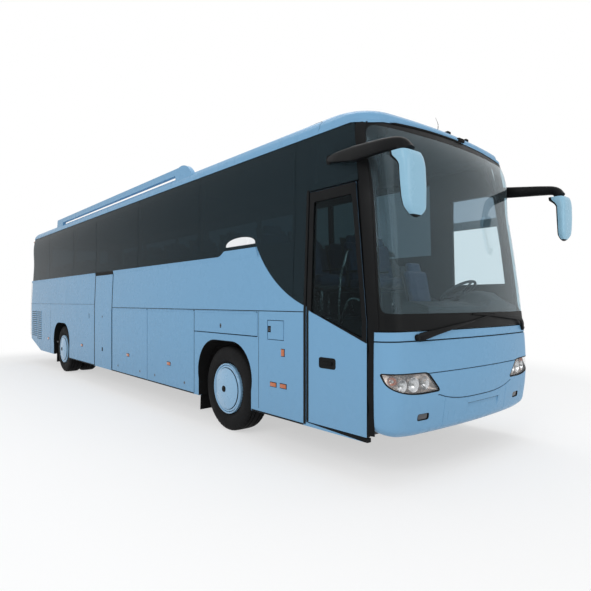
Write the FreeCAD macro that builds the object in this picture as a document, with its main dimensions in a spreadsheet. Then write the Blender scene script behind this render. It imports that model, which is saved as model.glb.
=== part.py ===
import FreeCAD, Part

import math
import os

# A high-deck two-axle touring coach, right-hand doors, in millimetres.
# +X is forward, +Y is the coach's left, +Z is up. The origin is on the ground, midway between the axles.

VECTOR = FreeCAD.Vector
UP = VECTOR(0, 0, 1)
FORWARD = VECTOR(1, 0, 0)
LEFTWARD = VECTOR(0, 1, 0)

doc = FreeCAD.newDocument("Coach")
sheet = doc.addObject("Spreadsheet::Sheet", "Sizes")


class Size:
    """A length that carries its value and the expression that gives it from the sheet."""

    def __init__(self, value, text):
        self.value = float(value)
        self.text = text

    def __float__(self):
        return self.value

    def __add__(self, other):
        return Size(self.value + float(other), "(%s + %s)" % (self.text, words(other)))

    def __sub__(self, other):
        return Size(self.value - float(other), "(%s - %s)" % (self.text, words(other)))

    def __mul__(self, factor):
        return Size(self.value * float(factor), "(%s * %s)" % (self.text, words(factor)))

    def __truediv__(self, factor):
        return Size(self.value / float(factor), "(%s / %s)" % (self.text, words(factor)))

    def __neg__(self):
        return Size(-self.value, "(0 - %s)" % self.text)

    def __radd__(self, other):
        return self + other

    def __rsub__(self, other):
        return -self + other


def words(number):
    """The expression text of a Size or a plain number."""
    return number.text if isinstance(number, Size) else "%.6f" % float(number)


def driving(alias, value):
    """Writes one driving dimension into the sheet under its alias and returns it as a Size."""
    driving.row += 1
    sheet.set("A%d" % driving.row, alias)
    sheet.set("B%d" % driving.row, "%g" % value)
    sheet.setAlias("B%d" % driving.row, alias)
    return Size(value, "Sizes." + alias)


driving.row = 0

# ---------------------------------------------------------------- driving dimensions
wheelbase = driving("wheelbase", 6900)
front_overhang = driving("front_overhang", 2665)
rear_overhang = driving("rear_overhang", 3050)
body_width = driving("body_width", 2550)
sill_height = driving("sill_height", 355)
crease_height = driving("crease_height", 1465)
belt_height = driving("belt_height", 2130)
glass_top_height = driving("glass_top_height", 3230)
roof_height = driving("roof_height", 3475)
side_lean = driving("side_lean", 70)
wall = driving("wall", 45)
glass_thickness = driving("glass_thickness", 8)
glass_inset = driving("glass_inset", 8)
frame_depth = driving("frame_depth", 42)
panel_gap = driving("panel_gap", 7)
free_edge_gap = driving("free_edge_gap", 12)
hinge_radius = driving("hinge_radius", 3)
hinge_leaf = driving("hinge_leaf", 26)
screen_base_height = driving("screen_base_height", 1315)
screen_setback = driving("screen_setback", 295)
nose_radius = driving("nose_radius", 8000)
corner_radius = driving("corner_radius", 230)
brow_radius = driving("brow_radius", 5000)
brow_corner_radius = driving("brow_corner_radius", 420)
tail_radius = driving("tail_radius", 9000)
tail_corner_radius = driving("tail_corner_radius", 230)
shoulder_radius = driving("shoulder_radius", 160)

tyre_diameter = driving("tyre_diameter", 1030)
tyre_width = driving("tyre_width", 290)
rim_diameter = driving("rim_diameter", 572)
rim_flange = driving("rim_flange", 22)
wheel_inset = driving("wheel_inset", 55)
twin_spacing = driving("twin_spacing", 332)
kingpin_offset = driving("kingpin_offset", 350)
kingpin_radius = driving("kingpin_radius", 25)
stub_radius = driving("stub_radius", 48)
running_clearance = driving("running_clearance", 0.05)
moving_clearance = driving("moving_clearance", 8)

arch_half_width = driving("arch_half_width", 600)
arch_height = driving("arch_height", 1105)
arch_panel_half_width = driving("arch_panel_half_width", 725)
service_flap_height = driving("service_flap_height", 282)

mask_depth = driving("mask_depth", 305)
front_door_width = driving("front_door_width", 815)
front_door_sill = driving("front_door_sill", 392)
front_door_height = driving("front_door_height", 2665)
mid_door_width = driving("mid_door_width", 905)
mid_door_from_axle = driving("mid_door_from_axle", 2235)
fuel_flap_width = driving("fuel_flap_width", 290)
fuel_flap_height = driving("fuel_flap_height", 212)
hump_rise = driving("hump_rise", 62)

floor_height = driving("floor_height", 1370)
floor_thickness = driving("floor_thickness", 50)
cab_floor_height = driving("cab_floor_height", 950)
bay_floor_height = driving("bay_floor_height", 460)
rail_clearance = driving("rail_clearance", 138)
rail_breadth = driving("rail_breadth", 60)
seat_pitch = driving("seat_pitch", 810)
aisle_width = driving("aisle_width", 420)

roof_rail_length = driving("roof_rail_length", 6500)
roof_rail_height = driving("roof_rail_height", 95)
roof_rail_gap = driving("roof_rail_gap", 48)

# ---------------------------------------------------------------- places worked out from them
front_axle = wheelbase / 2
rear_axle = -(wheelbase / 2)
nose = front_axle + front_overhang
tail = rear_axle - rear_overhang
half_width = body_width / 2
axle_height = tyre_diameter / 2
door_front = nose - mask_depth
door_rear = door_front - front_door_width
mid_door_rear = rear_axle + mid_door_from_axle
mid_door_front = mid_door_rear + mid_door_width
inner_half = half_width - wall - moving_clearance
tyre_outer = half_width - wheel_inset
rail_half = tyre_outer - twin_spacing - tyre_width - rail_clearance - rail_breadth
bench_width = half_width - side_lean - wall - aisle_width / 2


def bind(thing, **sizes):
    """Binds properties of a document object to expressions; x, y and z are its place."""
    places = {"x": "Placement.Base.x", "y": "Placement.Base.y", "z": "Placement.Base.z"}
    for name, size in sizes.items():
        thing.setExpression(places.get(name, name), words(size))
    return thing


def box(name, along, across, upward):
    """A Part::Box from three (low, high) pairs."""
    made = doc.addObject("Part::Box", name)
    return bind(
        made,
        x=along[0],
        y=across[0],
        z=upward[0],
        Length=Size(0, "0") + along[1] - along[0],
        Width=Size(0, "0") + across[1] - across[0],
        Height=Size(0, "0") + upward[1] - upward[0],
    )


def cylinder(name, centre, radius, length, axis=UP):
    """A Part::Cylinder whose base circle is centred on centre and which runs along axis."""
    made = doc.addObject("Part::Cylinder", name)
    made.Placement = FreeCAD.Placement(VECTOR(0, 0, 0), FreeCAD.Rotation(UP, axis))
    return bind(made, x=centre[0], y=centre[1], z=centre[2], Radius=radius, Height=length)


def cut(name, base, *tools):
    """base less every tool, one Part::Cut after another."""
    for number, tool in enumerate(tools):
        last = number == len(tools) - 1
        made = doc.addObject("Part::Cut", name if last else "%s_less_%d" % (name, number))
        made.Base = base
        made.Tool = tool
        base = made
    return base


def fuse(name, *pieces):
    """Every piece as one solid."""
    made = doc.addObject("Part::MultiFuse", name)
    made.Shapes = list(pieces)
    made.Refine = True
    return made


def common(name, first, second):
    """What two solids share."""
    made = doc.addObject("Part::Common", name)
    made.Base = first
    made.Tool = second
    return made


def gather(name, *pieces):
    """Like pieces that don't touch, in one node."""
    made = doc.addObject("Part::Compound", name)
    made.Links = list(pieces)
    return made


def mirrored(name, source):
    """The same piece on the coach's other side."""
    made = doc.addObject("Part::Mirroring", name)
    made.Source = source
    made.Normal = LEFTWARD
    made.Base = VECTOR(0, 0, 0)
    return made


def shaped(name, shape):
    """A Part::Feature for a lofted or outlined shape."""
    made = doc.addObject("Part::Feature", name)
    made.Shape = shape
    return made


def point(x, y, z):
    return VECTOR(float(x), float(y), float(z))


def side_prism(name, outline, across):
    """An outline of (x, z) corners, or of (x, z, x, z) arcs through a middle point, carried across the coach."""
    low, high = across
    edges = []
    here = outline[0][-2:]
    for step in outline[1:] + outline[:1]:
        there = step[-2:]
        start = point(here[0], low, here[1])
        end = point(there[0], low, there[1])
        if len(step) == 4:
            edges.append(Part.Arc(start, point(step[0], low, step[1]), end).toShape())
        else:
            edges.append(Part.makeLine(start, end))
        here = there
    face = Part.Face(Part.Wire(edges))
    return shaped(name, face.extrude(VECTOR(0, float(high) - float(low), 0)))


NODES = []


def node(made, label=None):
    """Marks a document object as a sub-part and labels it."""
    made.Label = label or made.Name
    NODES.append(made)
    return made


sheet.recompute()
doc.recompute()

# ---------------------------------------------------------------- the body's envelope
# Each level is one plan outline: height, how far its side stands in from the full half width,
# how far its nose and tail stand back, the nose arc's radius and the front corners' radius.
roof_rise = roof_height - glass_top_height
shoulder_top = float(roof_rise) - float(shoulder_radius)


def shoulder(turn):
    """Inset and rise on the roof's shoulder arc, turn degrees round from upright."""
    angle = math.radians(turn)
    radius = float(shoulder_radius)
    return radius * (1 - math.cos(angle)), radius * math.sin(angle)


def lean(height):
    """How far the side leans in at a height: none up to the crease, all of it at the top of the glass."""
    share = (float(height) - float(crease_height)) / float(glass_top_height - crease_height)
    return float(side_lean) * max(0.0, share)


def body_levels():
    """The levels from under the sill to the top of the windows."""
    knee = float(screen_base_height) + 0.62 * float(glass_top_height - screen_base_height)
    crease = float(crease_height)
    base = float(screen_base_height)
    setback = float(screen_setback)
    full, tight = float(nose_radius), float(corner_radius)
    return [
        # height, side_in, nose_back, tail_back, nose_arc, corner
        (float(sill_height) - 60, 0, 45, 0, full, tight),
        (float(sill_height) + 330, 0, -18, 0, full, tight),
        (base, 0, 0, 0, full, tight),
        (crease, 0, 0.055 * setback, 0, full, tight + 5),
        (knee, lean(knee), 0.46 * setback, 10, 0.86 * full, tight + 50),
        (float(glass_top_height), float(side_lean), setback, 30, float(brow_radius), float(brow_corner_radius)),
    ]


def roof_levels():
    """The levels of the roof, from the top of the windows to the flat of the crown."""
    base = float(glass_top_height)
    inward = float(side_lean)
    back = float(screen_setback)
    crown = float(roof_height)
    levels = [body_levels()[-1]]
    for turn, nose_share, tail_share in ((30, 0.06, 0.10), (60, 0.30, 0.32), (80, 0.60, 0.60)):
        step_in, step_up = shoulder(turn)
        levels.append(
            (base + step_up, inward + step_in, back + 560 * nose_share, 30 + 220 * tail_share,
             float(brow_radius), float(brow_corner_radius) + step_in)
        )
    roof_half = float(half_width) - inward
    for share_in, below, nose_back, tail_back in ((0.332, 0.20, 700, 480), (0.664, 0.0, 1300, 950)):
        levels.append(
            (crown - below * float(roof_rise), inward + share_in * roof_half, back + nose_back, 30 + tail_back,
             float(brow_radius), 0.9 * float(brow_corner_radius))
        )
    return levels


def plan_outline(level, inset, drop):
    """One level's closed outline: two sides, a nose arc, a tail arc and four corner arcs, all tangent."""
    height, side_in, nose_back, tail_back, nose_arc, corner = level
    half = float(half_width) - side_in - inset
    front_corner = min(corner, 0.93 * (half + inset)) - inset
    rear_corner = min(float(tail_corner_radius) + 0.5 * side_in, 0.9 * (half + inset)) - inset
    z = height - drop
    ends = []
    for end, arc, small, sign in (
        (float(nose) - nose_back - inset, nose_arc - inset, front_corner, 1),
        (float(tail) + tail_back + inset, float(tail_radius) - inset, rear_corner, -1),
    ):
        reach = math.sqrt((arc - small) ** 2 - (half - small) ** 2)
        centre = end - sign * arc
        corner_x = centre + sign * reach
        turn = math.atan2(half - small, reach)
        on_arc = (centre + sign * arc * math.cos(turn), arc * math.sin(turn))
        half_turn = (turn + math.pi / 2) / 2
        on_corner = (corner_x + sign * small * math.cos(half_turn), half - small + small * math.sin(half_turn))
        ends.append((corner_x, on_corner, on_arc, end))
    (front_x, front_mid, front_arc, front_end), (rear_x, rear_mid, rear_arc, rear_end) = ends

    def arc_through(first, middle, last):
        return Part.Arc(*[VECTOR(x, y, z) for x, y in (first, middle, last)]).toShape()

    right_rear, right_front = (rear_x, -half), (front_x, -half)
    left_rear, left_front = (rear_x, half), (front_x, half)

    def flip(pair):
        return (pair[0], -pair[1])

    return Part.Wire(
        [
            Part.makeLine(VECTOR(*right_rear, z), VECTOR(*right_front, z)),
            arc_through(right_front, flip(front_mid), flip(front_arc)),
            arc_through(flip(front_arc), (front_end, 0), front_arc),
            arc_through(front_arc, front_mid, left_front),
            Part.makeLine(VECTOR(*left_front, z), VECTOR(*left_rear, z)),
            arc_through(left_rear, rear_mid, rear_arc),
            arc_through(rear_arc, (rear_end, 0), flip(rear_arc)),
            arc_through(flip(rear_arc), flip(rear_mid), right_rear),
        ]
    )


def envelope(name, levels, inset, drop=0.0):
    """The solid inside one set of levels, each outline stood in by inset and lowered by drop."""
    wires = [plan_outline(level, inset, drop) for level in levels]
    return shaped(name, Part.makeLoft(wires, True, True))


def skin(name, levels, outer, inner):
    """The body's skin between two depths behind its surface."""
    return cut(name, envelope(name + "_outside", levels, outer), envelope(name + "_inside", levels, inner))


BODY = body_levels()
ROOF = roof_levels()
glass_front = float(glass_inset)
glass_back = glass_front + float(glass_thickness)
wall_skin = skin("wall_skin", BODY, 0.0, float(wall))
glass_skin = skin("glass_skin", BODY, glass_front, glass_back)
frame_skin = skin("frame_skin", BODY, glass_back, glass_back + float(frame_depth))
roof_outside = envelope("roof_outside", ROOF, 0.0)
roof_inside = envelope("roof_inside", ROOF, float(wall), float(wall))

# ---------------------------------------------------------------- where panels meet
far = half_width + 200
seam_top = door_front - 215
seam_foot_height = crease_height - 60
rear_seam_low = tail + 190
rear_seam_high = tail + 110
door_edge_rear = belt_height - 600
hump_height = belt_height + hump_rise
sweep_start = front_axle + 660
hump_end = front_axle - 125


sweep_fall = 300 / (float(door_front) - float(door_rear) + 10)


def sweep(front_x):
    """The lower edge of the dark side band, from hump to front_x, as steps of an outline running forward."""
    sweep_end = door_rear - 10
    return [
        (hump_end, belt_height),
        (hump_end + 125, hump_height),
        (sweep_start, hump_height),
        (sweep_start + 380, belt_height - 345, sweep_end, door_edge_rear),
        (front_x, float(door_edge_rear) - sweep_fall * (float(front_x) - float(sweep_end))),
    ]


def across_right(name, outline):
    return side_prism(name, outline, (-far, -half_width + 500))


def across_left(name, outline):
    return side_prism(name, outline, (half_width - 500, far))


def low_region(outline_side, name):
    """The painted side: sill to belt, with the dark band's sweep taken off its front top corner."""
    outline = [
        (rear_seam_low, sill_height + 280),
        (rear_seam_low, belt_height),
    ]
    outline += sweep(door_front)
    outline += [
        (door_front, sill_height),
        (tail + 1250, sill_height),
    ]
    return outline_side(name, outline)


def high_region(outline_side, name, front_shift):
    """The dark band: belt or sweep up to the top of the glass, forward to the leaning front pillar."""
    outline = [(rear_seam_high, belt_height)]
    outline += sweep(door_front + front_shift)
    outline += [
        (door_front + front_shift, seam_foot_height),
        (seam_top + front_shift, glass_top_height),
        (rear_seam_high, glass_top_height),
    ]
    return outline_side(name, outline)


ARCH_DEPTH = 520


def arch(name, axle, sign):
    """A wheel arch: a flat-topped half round cut through one side."""
    half = float(arch_half_width)
    top = float(arch_height)
    spring = float(axle_height) + 60
    flat = 0.30 * half
    x = float(axle)
    outline = [
        (x - half, float(sill_height) - 80),
        (x - half, spring),
        (x - 0.86 * half, spring + 0.72 * (top - spring), x - flat, top),
        (x + flat, top),
        (x + 0.86 * half, spring + 0.72 * (top - spring), x + half, spring),
        (x + half, float(sill_height) - 80),
    ]
    near, outer = sign * (float(half_width) - ARCH_DEPTH), sign * float(far)
    return side_prism(name, outline, (min(near, outer), max(near, outer)))


arches = [
    arch(name, axle, sign)
    for name, axle, sign in (
        ("arch_front_right", front_axle, -1),
        ("arch_rear_right", rear_axle, -1),
        ("arch_front_left", front_axle, 1),
        ("arch_rear_left", rear_axle, 1),
    )
]

gap = panel_gap


def panel(name, along, upward, side, source):
    """A moving panel cut from the skin: the skin inside a box, less its gap all round."""
    across = (-far, -half_width + 200) if side == "right" else (half_width - 200, far)
    return common(name, source, box(name + "_block", along, across, upward))


def opening(name, along, upward, side):
    """The hole for a moving panel, as wide as the panel and its gap."""
    across = (-far, -half_width + 200) if side == "right" else (half_width - 200, far)
    return box(name + "_hole", along, across, upward)


def hinged(name, leaf_panel, start, axis, length, leaf):
    """A moving panel with its hinge: a barrel on the joint's axis and the leaf that ties it to the panel."""
    return fuse(name, leaf_panel, cylinder(name + "_barrel", start, hinge_radius, length, axis),
                box(name + "_leaf", *leaf))


def side_depths(side, inward):
    """Low and high of a hinge leaf across the coach, from the barrel's middle to inward of the skin."""
    outer = half_width + hinge_radius
    return (-outer, inward - half_width) if side == "right" else (half_width - inward, outer)


def top_hinge(name, panel_made, side, rear, front, top):
    """A panel hung on its top edge."""
    sign = -1 if side == "right" else 1
    middle = top - gap / 2
    start = (rear + 30, (half_width + hinge_radius) * sign, middle)
    return hinged(name, panel_made, start, FORWARD, front - rear - 60,
                  ((rear + 30, front - 30), side_depths(side, 2), (top - hinge_leaf, middle)))


def front_hinge(name, panel_made, front, foot, top):
    """A right-hand panel hung on its front edge, with its barrel between two heights."""
    middle = front - gap / 2
    start = (middle, -(half_width + hinge_radius), foot)
    return hinged(name, panel_made, start, UP, top - foot,
                  ((front - hinge_leaf, middle), side_depths("right", 6), (foot, top)))


flap_front = front_axle - arch_panel_half_width
flap_rear = mid_door_front + 30
flap_length = (flap_front - flap_rear) / 2

fuel_middle = (front_axle + arch_panel_half_width + door_rear) / 2 - 85
fuel_top = crease_height - 85
# name, side, hung on, rear edge, front edge, foot, top: the hole; the panel stands inside it by the gap
PANELS = [
    ("luggage_flap_right_rear", "right", "top", flap_rear, flap_rear + flap_length, sill_height, crease_height),
    ("luggage_flap_right_front", "right", "top", flap_rear + flap_length, flap_front, sill_height, crease_height),
    ("luggage_flap_left_rear", "left", "top", flap_rear, flap_rear + flap_length, sill_height, crease_height),
    ("luggage_flap_left_front", "left", "top", flap_rear + flap_length, flap_front, sill_height, crease_height),
    ("service_flap", "right", "top", flap_front, front_axle + arch_panel_half_width,
     crease_height - service_flap_height, crease_height),
    ("mid_door", "right", "front", mid_door_rear, mid_door_front, sill_height, belt_height - 55),
    ("fuel_flap", "right", "front", fuel_middle - fuel_flap_width / 2, fuel_middle + fuel_flap_width / 2,
     fuel_top - fuel_flap_height, fuel_top),
]

holes = {"right": [], "left": []}
flaps = {}
for name, side, hung_on, rear, front, foot, top in PANELS:
    open_foot = foot is sill_height
    holes[side].append(opening(name, (rear, front), (foot - 60 if open_foot else foot, top), side))
    rear_gap = free_edge_gap if hung_on == "front" else gap
    foot_gap = free_edge_gap if hung_on == "top" else gap
    plain = panel(name + "_plain", (rear + rear_gap, front - gap),
                  (foot if open_foot else foot + foot_gap, top - gap), side, wall_skin)
    if hung_on == "top":
        flaps[name] = top_hinge(name, plain, side, rear, front, top)
    else:
        barrel_top = crease_height - 30 if open_foot else top - 20
        flaps[name] = front_hinge(name, plain, front, foot + 40, barrel_top)

# ---------------------------------------------------------------- the front door
door_outline = [
    (door_rear, front_door_sill),
    (door_front, front_door_sill),
    (door_front, seam_foot_height),
    (door_front - 175, front_door_height),
    (door_rear, front_door_height),
]
door_leaf_outline = [
    (door_rear + free_edge_gap + 2, front_door_sill + gap),
    (door_front - gap, front_door_sill + gap),
    (door_front - gap, seam_foot_height),
    (door_front - 175 - gap, front_door_height - free_edge_gap),
    (door_rear + free_edge_gap + 2, front_door_height - free_edge_gap),
]
door_window_outline = [
    (door_rear + 75, belt_height - 655),
    (door_front - 60, belt_height - 880),
    (door_front - 60, seam_foot_height),
    (door_front - 225, front_door_height - 112),
    (door_rear + 75, front_door_height - 112),
]
door_hole = across_right("door_hole", door_outline)
door_leaf_block = across_right("door_leaf_block", door_leaf_outline)
door_window = across_right("door_window", door_window_outline)
front_door = front_hinge("front_door", cut("front_door_plain", common("front_door_leaf", wall_skin, door_leaf_block),
                                           door_window),
                         door_front, front_door_sill + 40, crease_height - 300)
front_door_glass = common("front_door_glass", glass_skin, door_window)

# ---------------------------------------------------------------- fixed sides
side_wall_right = cut(
    "side_wall_right",
    common("side_right_plain", wall_skin, low_region(across_right, "low_right")),
    arches[0], arches[1], door_hole, *holes["right"],
)
side_wall_left = cut(
    "side_wall_left",
    common("side_left_plain", wall_skin, low_region(across_left, "low_left")),
    arches[2], arches[3], *holes["left"],
)

PILLARS = [  # middle of each window pillar ahead of the front axle, and its width
    (-9760, 90),
    (-8080, 90),
    (-6168, 90),
    (-4706, 90),
    (-2689, 90),
    (-675, 90),
    (1329, 110),
]
window_foot = belt_height + 70
window_head = glass_top_height - 90


def pillar_x(number):
    return front_axle + PILLARS[number][0]


def window_holes(side):
    """One hole between each pair of pillars, through the frame."""
    across = (-far, -half_width + 400) if side == "right" else (half_width - 400, far)
    made = []
    for number in range(len(PILLARS) - 1):
        along = (pillar_x(number) + PILLARS[number][1] / 2, pillar_x(number + 1) - PILLARS[number + 1][1] / 2)
        made.append(box("window_%s_%d" % (side, number), along, across, (window_foot, window_head)))
    return made


driver_window = across_left("driver_window", [
    (door_rear + 60, belt_height - 340),
    (door_front - 45, belt_height - 340),
    (door_front - 150, belt_height + 740),
    (door_rear + 60, belt_height + 740),
])
door_header_hole = across_right("door_header_hole", [
    (door_rear + 60, front_door_height + 70),
    (door_front - 200, front_door_height + 70),
    (seam_top - 10, window_head),
    (door_rear + 60, window_head),
])
PILLAR_REACH = 95
frame_right = cut(
    "frame_right",
    common("frame_right_plain", frame_skin, high_region(across_right, "high_right", PILLAR_REACH)),
    door_hole, door_header_hole, *window_holes("right"),
)
frame_left = cut(
    "frame_left",
    common("frame_left_plain", frame_skin, high_region(across_left, "high_left", PILLAR_REACH)),
    driver_window, *window_holes("left"),
)
nose_room = box("nose_room", (door_front + gap, nose + 300), (-far, far), (sill_height, screen_base_height))
window_frames = gather("window_frames", cut("frame_right_trimmed", frame_right, nose_room),
                       cut("frame_left_trimmed", frame_left, nose_room))


def pane_gaps(side):
    """The narrow joints between neighbouring panes."""
    across = (-far, -half_width + 400) if side == "right" else (half_width - 400, far)
    return [
        box("pane_gap_%s_%d" % (side, number), (pillar_x(number) - 4, pillar_x(number) + 4), across,
            (belt_height - 800, glass_top_height + 5))
        for number in range(1, len(PILLARS))
    ]


panes_right = cut(
    "panes_right",
    common("panes_right_plain", glass_skin, high_region(across_right, "pane_high_right", -6)),
    door_hole, *pane_gaps("right"),
)
panes_left = cut(
    "panes_left",
    common("panes_left_plain", glass_skin, high_region(across_left, "pane_high_left", -6)),
    *pane_gaps("left"),
)

# ---------------------------------------------------------------- front
front_far = nose + 300
bumper_top = sill_height + 345
mask_region = side_prism("mask_region", [
    (door_front + gap, bumper_top + gap / 2),
    (door_front + gap, screen_base_height),
    (front_far, screen_base_height),
    (front_far, bumper_top + gap / 2),
], (-far, far))
bumper_region = side_prism("bumper_region", [
    (door_front + gap, sill_height + 35),
    (door_front + gap, bumper_top - gap / 2),
    (front_far, bumper_top - gap / 2),
    (front_far, sill_height + 20),
], (-far, far))
screen_region = side_prism("screen_region", [
    (door_front + gap, screen_base_height + gap / 2),
    (door_front + gap, seam_foot_height),
    (seam_top + gap, glass_top_height),
    (front_far, glass_top_height),
    (front_far, screen_base_height + gap / 2),
], (-far, far))


def lamp_block(name, sign):
    """The headlamp's outline seen from the front, carried through the mask."""
    corners = [
        (half_width + 60, crease_height - 500),
        (half_width - 590, crease_height - 545),
        (half_width - 690, crease_height - 735),
        (half_width - 240, crease_height - 705),
        (half_width + 60, crease_height - 640),
    ]
    wire = Part.makePolygon([point(door_front + 45, sign * float(y), z) for y, z in corners + corners[:1]])
    return shaped(name, Part.Face(wire).extrude(VECTOR(700, 0, 0)))


headlamps = []
mask_cuts = []
for side, sign in (("right", -1), ("left", 1)):
    block = lamp_block("lamp_block_" + side, sign)
    mask_cuts.append(block)
    headlamps.append(common("headlamp_" + side, wall_skin, block))
front_mask = cut("front_mask", common("front_mask_plain", wall_skin, mask_region), *mask_cuts)
tow_y = -(half_width - 830)
tow_z = sill_height + 165
TOW_ROOM = 42
seam_backing = common(
    "seam_backing",
    skin("backing_skin", BODY, float(wall) - 15, float(wall)),
    box("seam_backing_block", (door_front + gap, front_far), (-far, far), (bumper_top - gap / 2, bumper_top + gap / 2)),
)
bumper_plain = fuse("front_bumper_plain", common("bumper_skin", wall_skin, bumper_region), seam_backing)
# Four mouldings meet round the towing hole, so that its square way stays open.
hole_across = (tow_y - TOW_ROOM, tow_y + TOW_ROOM)
bumper_mouldings = [
    common("bumper_" + place, bumper_plain, box("bumper_%s_block" % place, (door_front, front_far), across, upward))
    for place, across, upward in (
        ("right", (-far, hole_across[0]), (0, crease_height)),
        ("left", (hole_across[1], far), (0, crease_height)),
        ("over_hole", hole_across, (tow_z + TOW_ROOM, crease_height)),
        ("under_hole", hole_across, (0, tow_z - TOW_ROOM)),
    )
]
front_bumper = gather("front_bumper", *bumper_mouldings)
windscreen = common("windscreen", glass_skin, screen_region)

# ---------------------------------------------------------------- roof
roof_shell = cut("roof_shell", roof_outside, roof_inside)
roof = common("roof", roof_shell, box("roof_block", (tail - 100, front_far), (-far, far),
                                      (glass_top_height, roof_height + 100)))

# ---------------------------------------------------------------- rear
rear_low_block = side_prism("rear_low_block", [
    (tail - 200, sill_height + 290),
    (tail - 200, belt_height),
    (rear_seam_low, belt_height),
    (rear_seam_low, sill_height + 290),
], (-far, far))
rear_high_block = box("rear_high_block", (tail - 200, rear_seam_high), (-far, far),
                      (belt_height, glass_top_height))
rear_plain = fuse("rear_plain", common("rear_low", wall_skin, rear_low_block),
                  common("rear_high", wall_skin, rear_high_block))
rear_window_half = half_width - 290
rear_window_foot = belt_height + 110
rear_window_head = glass_top_height - 150
lid_half = half_width - 330
lid_foot = sill_height + 430
lid_top = belt_height - 240
rear_window_hole = box("rear_window_hole", (tail - 200, tail + 300), (-rear_window_half, rear_window_half),
                       (rear_window_foot, rear_window_head))
lid_hole = box("lid_hole", (tail - 200, tail + 300), (-lid_half, lid_half), (lid_foot, lid_top))
tail_lamp_holes = []
tail_lamps = []
for side, sign in (("right", -1), ("left", 1)):
    inner = half_width - 205
    low = -far if sign < 0 else inner
    high = -inner if sign < 0 else far
    tail_lamp_holes.append(box("tail_lamp_hole_" + side, (tail - 200, tail + 120), (low, high),
                               (crease_height - 420, crease_height + 330)))
    tail_lamps.append(common("tail_lamp_" + side, wall_skin, tail_lamp_holes[-1]))
rear_wall = cut("rear_wall", rear_plain, rear_window_hole, lid_hole, *tail_lamp_holes)
lid_hinge_half = 150
lid_plain = common("lid_plain", wall_skin, box(
    "engine_lid_block", (tail - 200, tail + 300), (gap - lid_half, lid_half - gap), (lid_foot + gap, lid_top - gap)))
engine_lid = hinged(
    "engine_lid", lid_plain, (tail - hinge_radius, -lid_hinge_half, lid_top - gap / 2), LEFTWARD, 2 * lid_hinge_half,
    ((tail - hinge_radius, tail + 12), (-lid_hinge_half, lid_hinge_half), (lid_top - hinge_leaf, lid_top - gap / 2)),
)
rear_window = common("rear_window", glass_skin, rear_window_hole)
cabin_glass = gather("cabin_glass", panes_right, panes_left, rear_window)
lamps = gather("lamps", *(headlamps + tail_lamps))

# ---------------------------------------------------------------- floor, steps and frame
floor_foot = floor_height - floor_thickness
deck_front = door_rear - 330
well_inner = -(half_width - 1000)
deck = common(
    "deck",
    box("deck_block", (tail, deck_front), (-inner_half, inner_half), (floor_foot, floor_height)),
    envelope("deck_room", BODY, float(wall) + float(moving_clearance)),
)
well_hole = box("well_hole", (mid_door_rear + 20, mid_door_front - 20), (-far, well_inner),
                (floor_foot - 5, floor_height + 5))
driver_floor = box("driver_floor", (deck_front - 5, door_front + 20), (-150, inner_half),
                   (cab_floor_height - 40, cab_floor_height))
riser = box("riser", (deck_front - 30, deck_front), (-inner_half, inner_half), (cab_floor_height - 40, floor_height))
step_rise = (cab_floor_height - front_door_sill) / 3
steps = []
step_depth = (inner_half - 150) / 3
for number in range(3):
    steps.append(box(
        "step_%d" % number,
        (door_rear + 25, door_front - 30),
        (-inner_half + step_depth * number, -inner_half + step_depth * (number + 1)),
        (front_door_sill + step_rise * number + 8, front_door_sill + step_rise * number + 48),
    ))
    steps.append(box(
        "step_riser_%d" % number,
        (door_rear + 25, door_front - 30),
        (-inner_half + step_depth * (number + 1) - 15, -inner_half + step_depth * (number + 1) + 15),
        (front_door_sill + step_rise * number + 8,
         cab_floor_height if number == 2 else front_door_sill + step_rise * (number + 1) + 48),
    ))
stair_foot = box("stair_foot", (deck_front, door_rear + 30), (-inner_half, -145),
                 (cab_floor_height - 40, cab_floor_height))
aisle_step = box("aisle_step", (deck_front, deck_front + 280), (-600, 100),
                 (cab_floor_height - 10, (cab_floor_height + floor_height) / 2))
mid_rise = (floor_height - sill_height) / 4
mid_depth = (inner_half + well_inner) / 3
mid_steps = []
for number in range(3):
    mid_steps.append(box(
        "mid_step_%d" % number,
        (mid_door_rear + 20, mid_door_front - 20),
        (-inner_half + mid_depth * number, -inner_half + mid_depth * (number + 1)),
        (sill_height + mid_rise * number + 8, sill_height + mid_rise * number + 48),
    ))
    mid_steps.append(box(
        "mid_riser_%d" % number,
        (mid_door_rear + 20, mid_door_front - 20),
        (-inner_half + mid_depth * (number + 1) - 15, -inner_half + mid_depth * (number + 1) + 15),
        (sill_height + mid_rise * number + 8, sill_height + mid_rise * (number + 1) + 8 + (floor_thickness if number == 2 else 40)),
    ))
well_sides = [
    box("well_side_%d" % number, (edge, edge + 20), (-inner_half, well_inner), (sill_height + 8, floor_height))
    for number, edge in enumerate((mid_door_rear, mid_door_front - 20))
]
floor = fuse("floor", cut("deck_cut", deck, well_hole), driver_floor, riser)
front_stair = cut("front_stair", fuse("front_stair_plain", stair_foot, *steps), driver_floor, riser)
mid_stair = cut("mid_stair", fuse("mid_stair_plain", *(mid_steps + well_sides)), deck)
entrance_steps = gather("entrance_steps", front_stair, mid_stair)

rail_top = axle_height + 330
RAIL_DEPTH = 120
SHEET = 18
wall_inside = half_width - wall
bay_rear = mid_door_front + 12
bay_front = flap_front + 10
# where each cross wall's rear face stands, and whether the frame's rails pass through it
BULKHEADS = [
    (front_axle + arch_panel_half_width + 5, False),
    (bay_front, False),
    (bay_rear, False),
    (mid_door_rear - 30, False),
    (rear_axle + arch_half_width + 20, True),
    (rear_axle - arch_half_width - 20 - SHEET, True),
]


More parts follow.
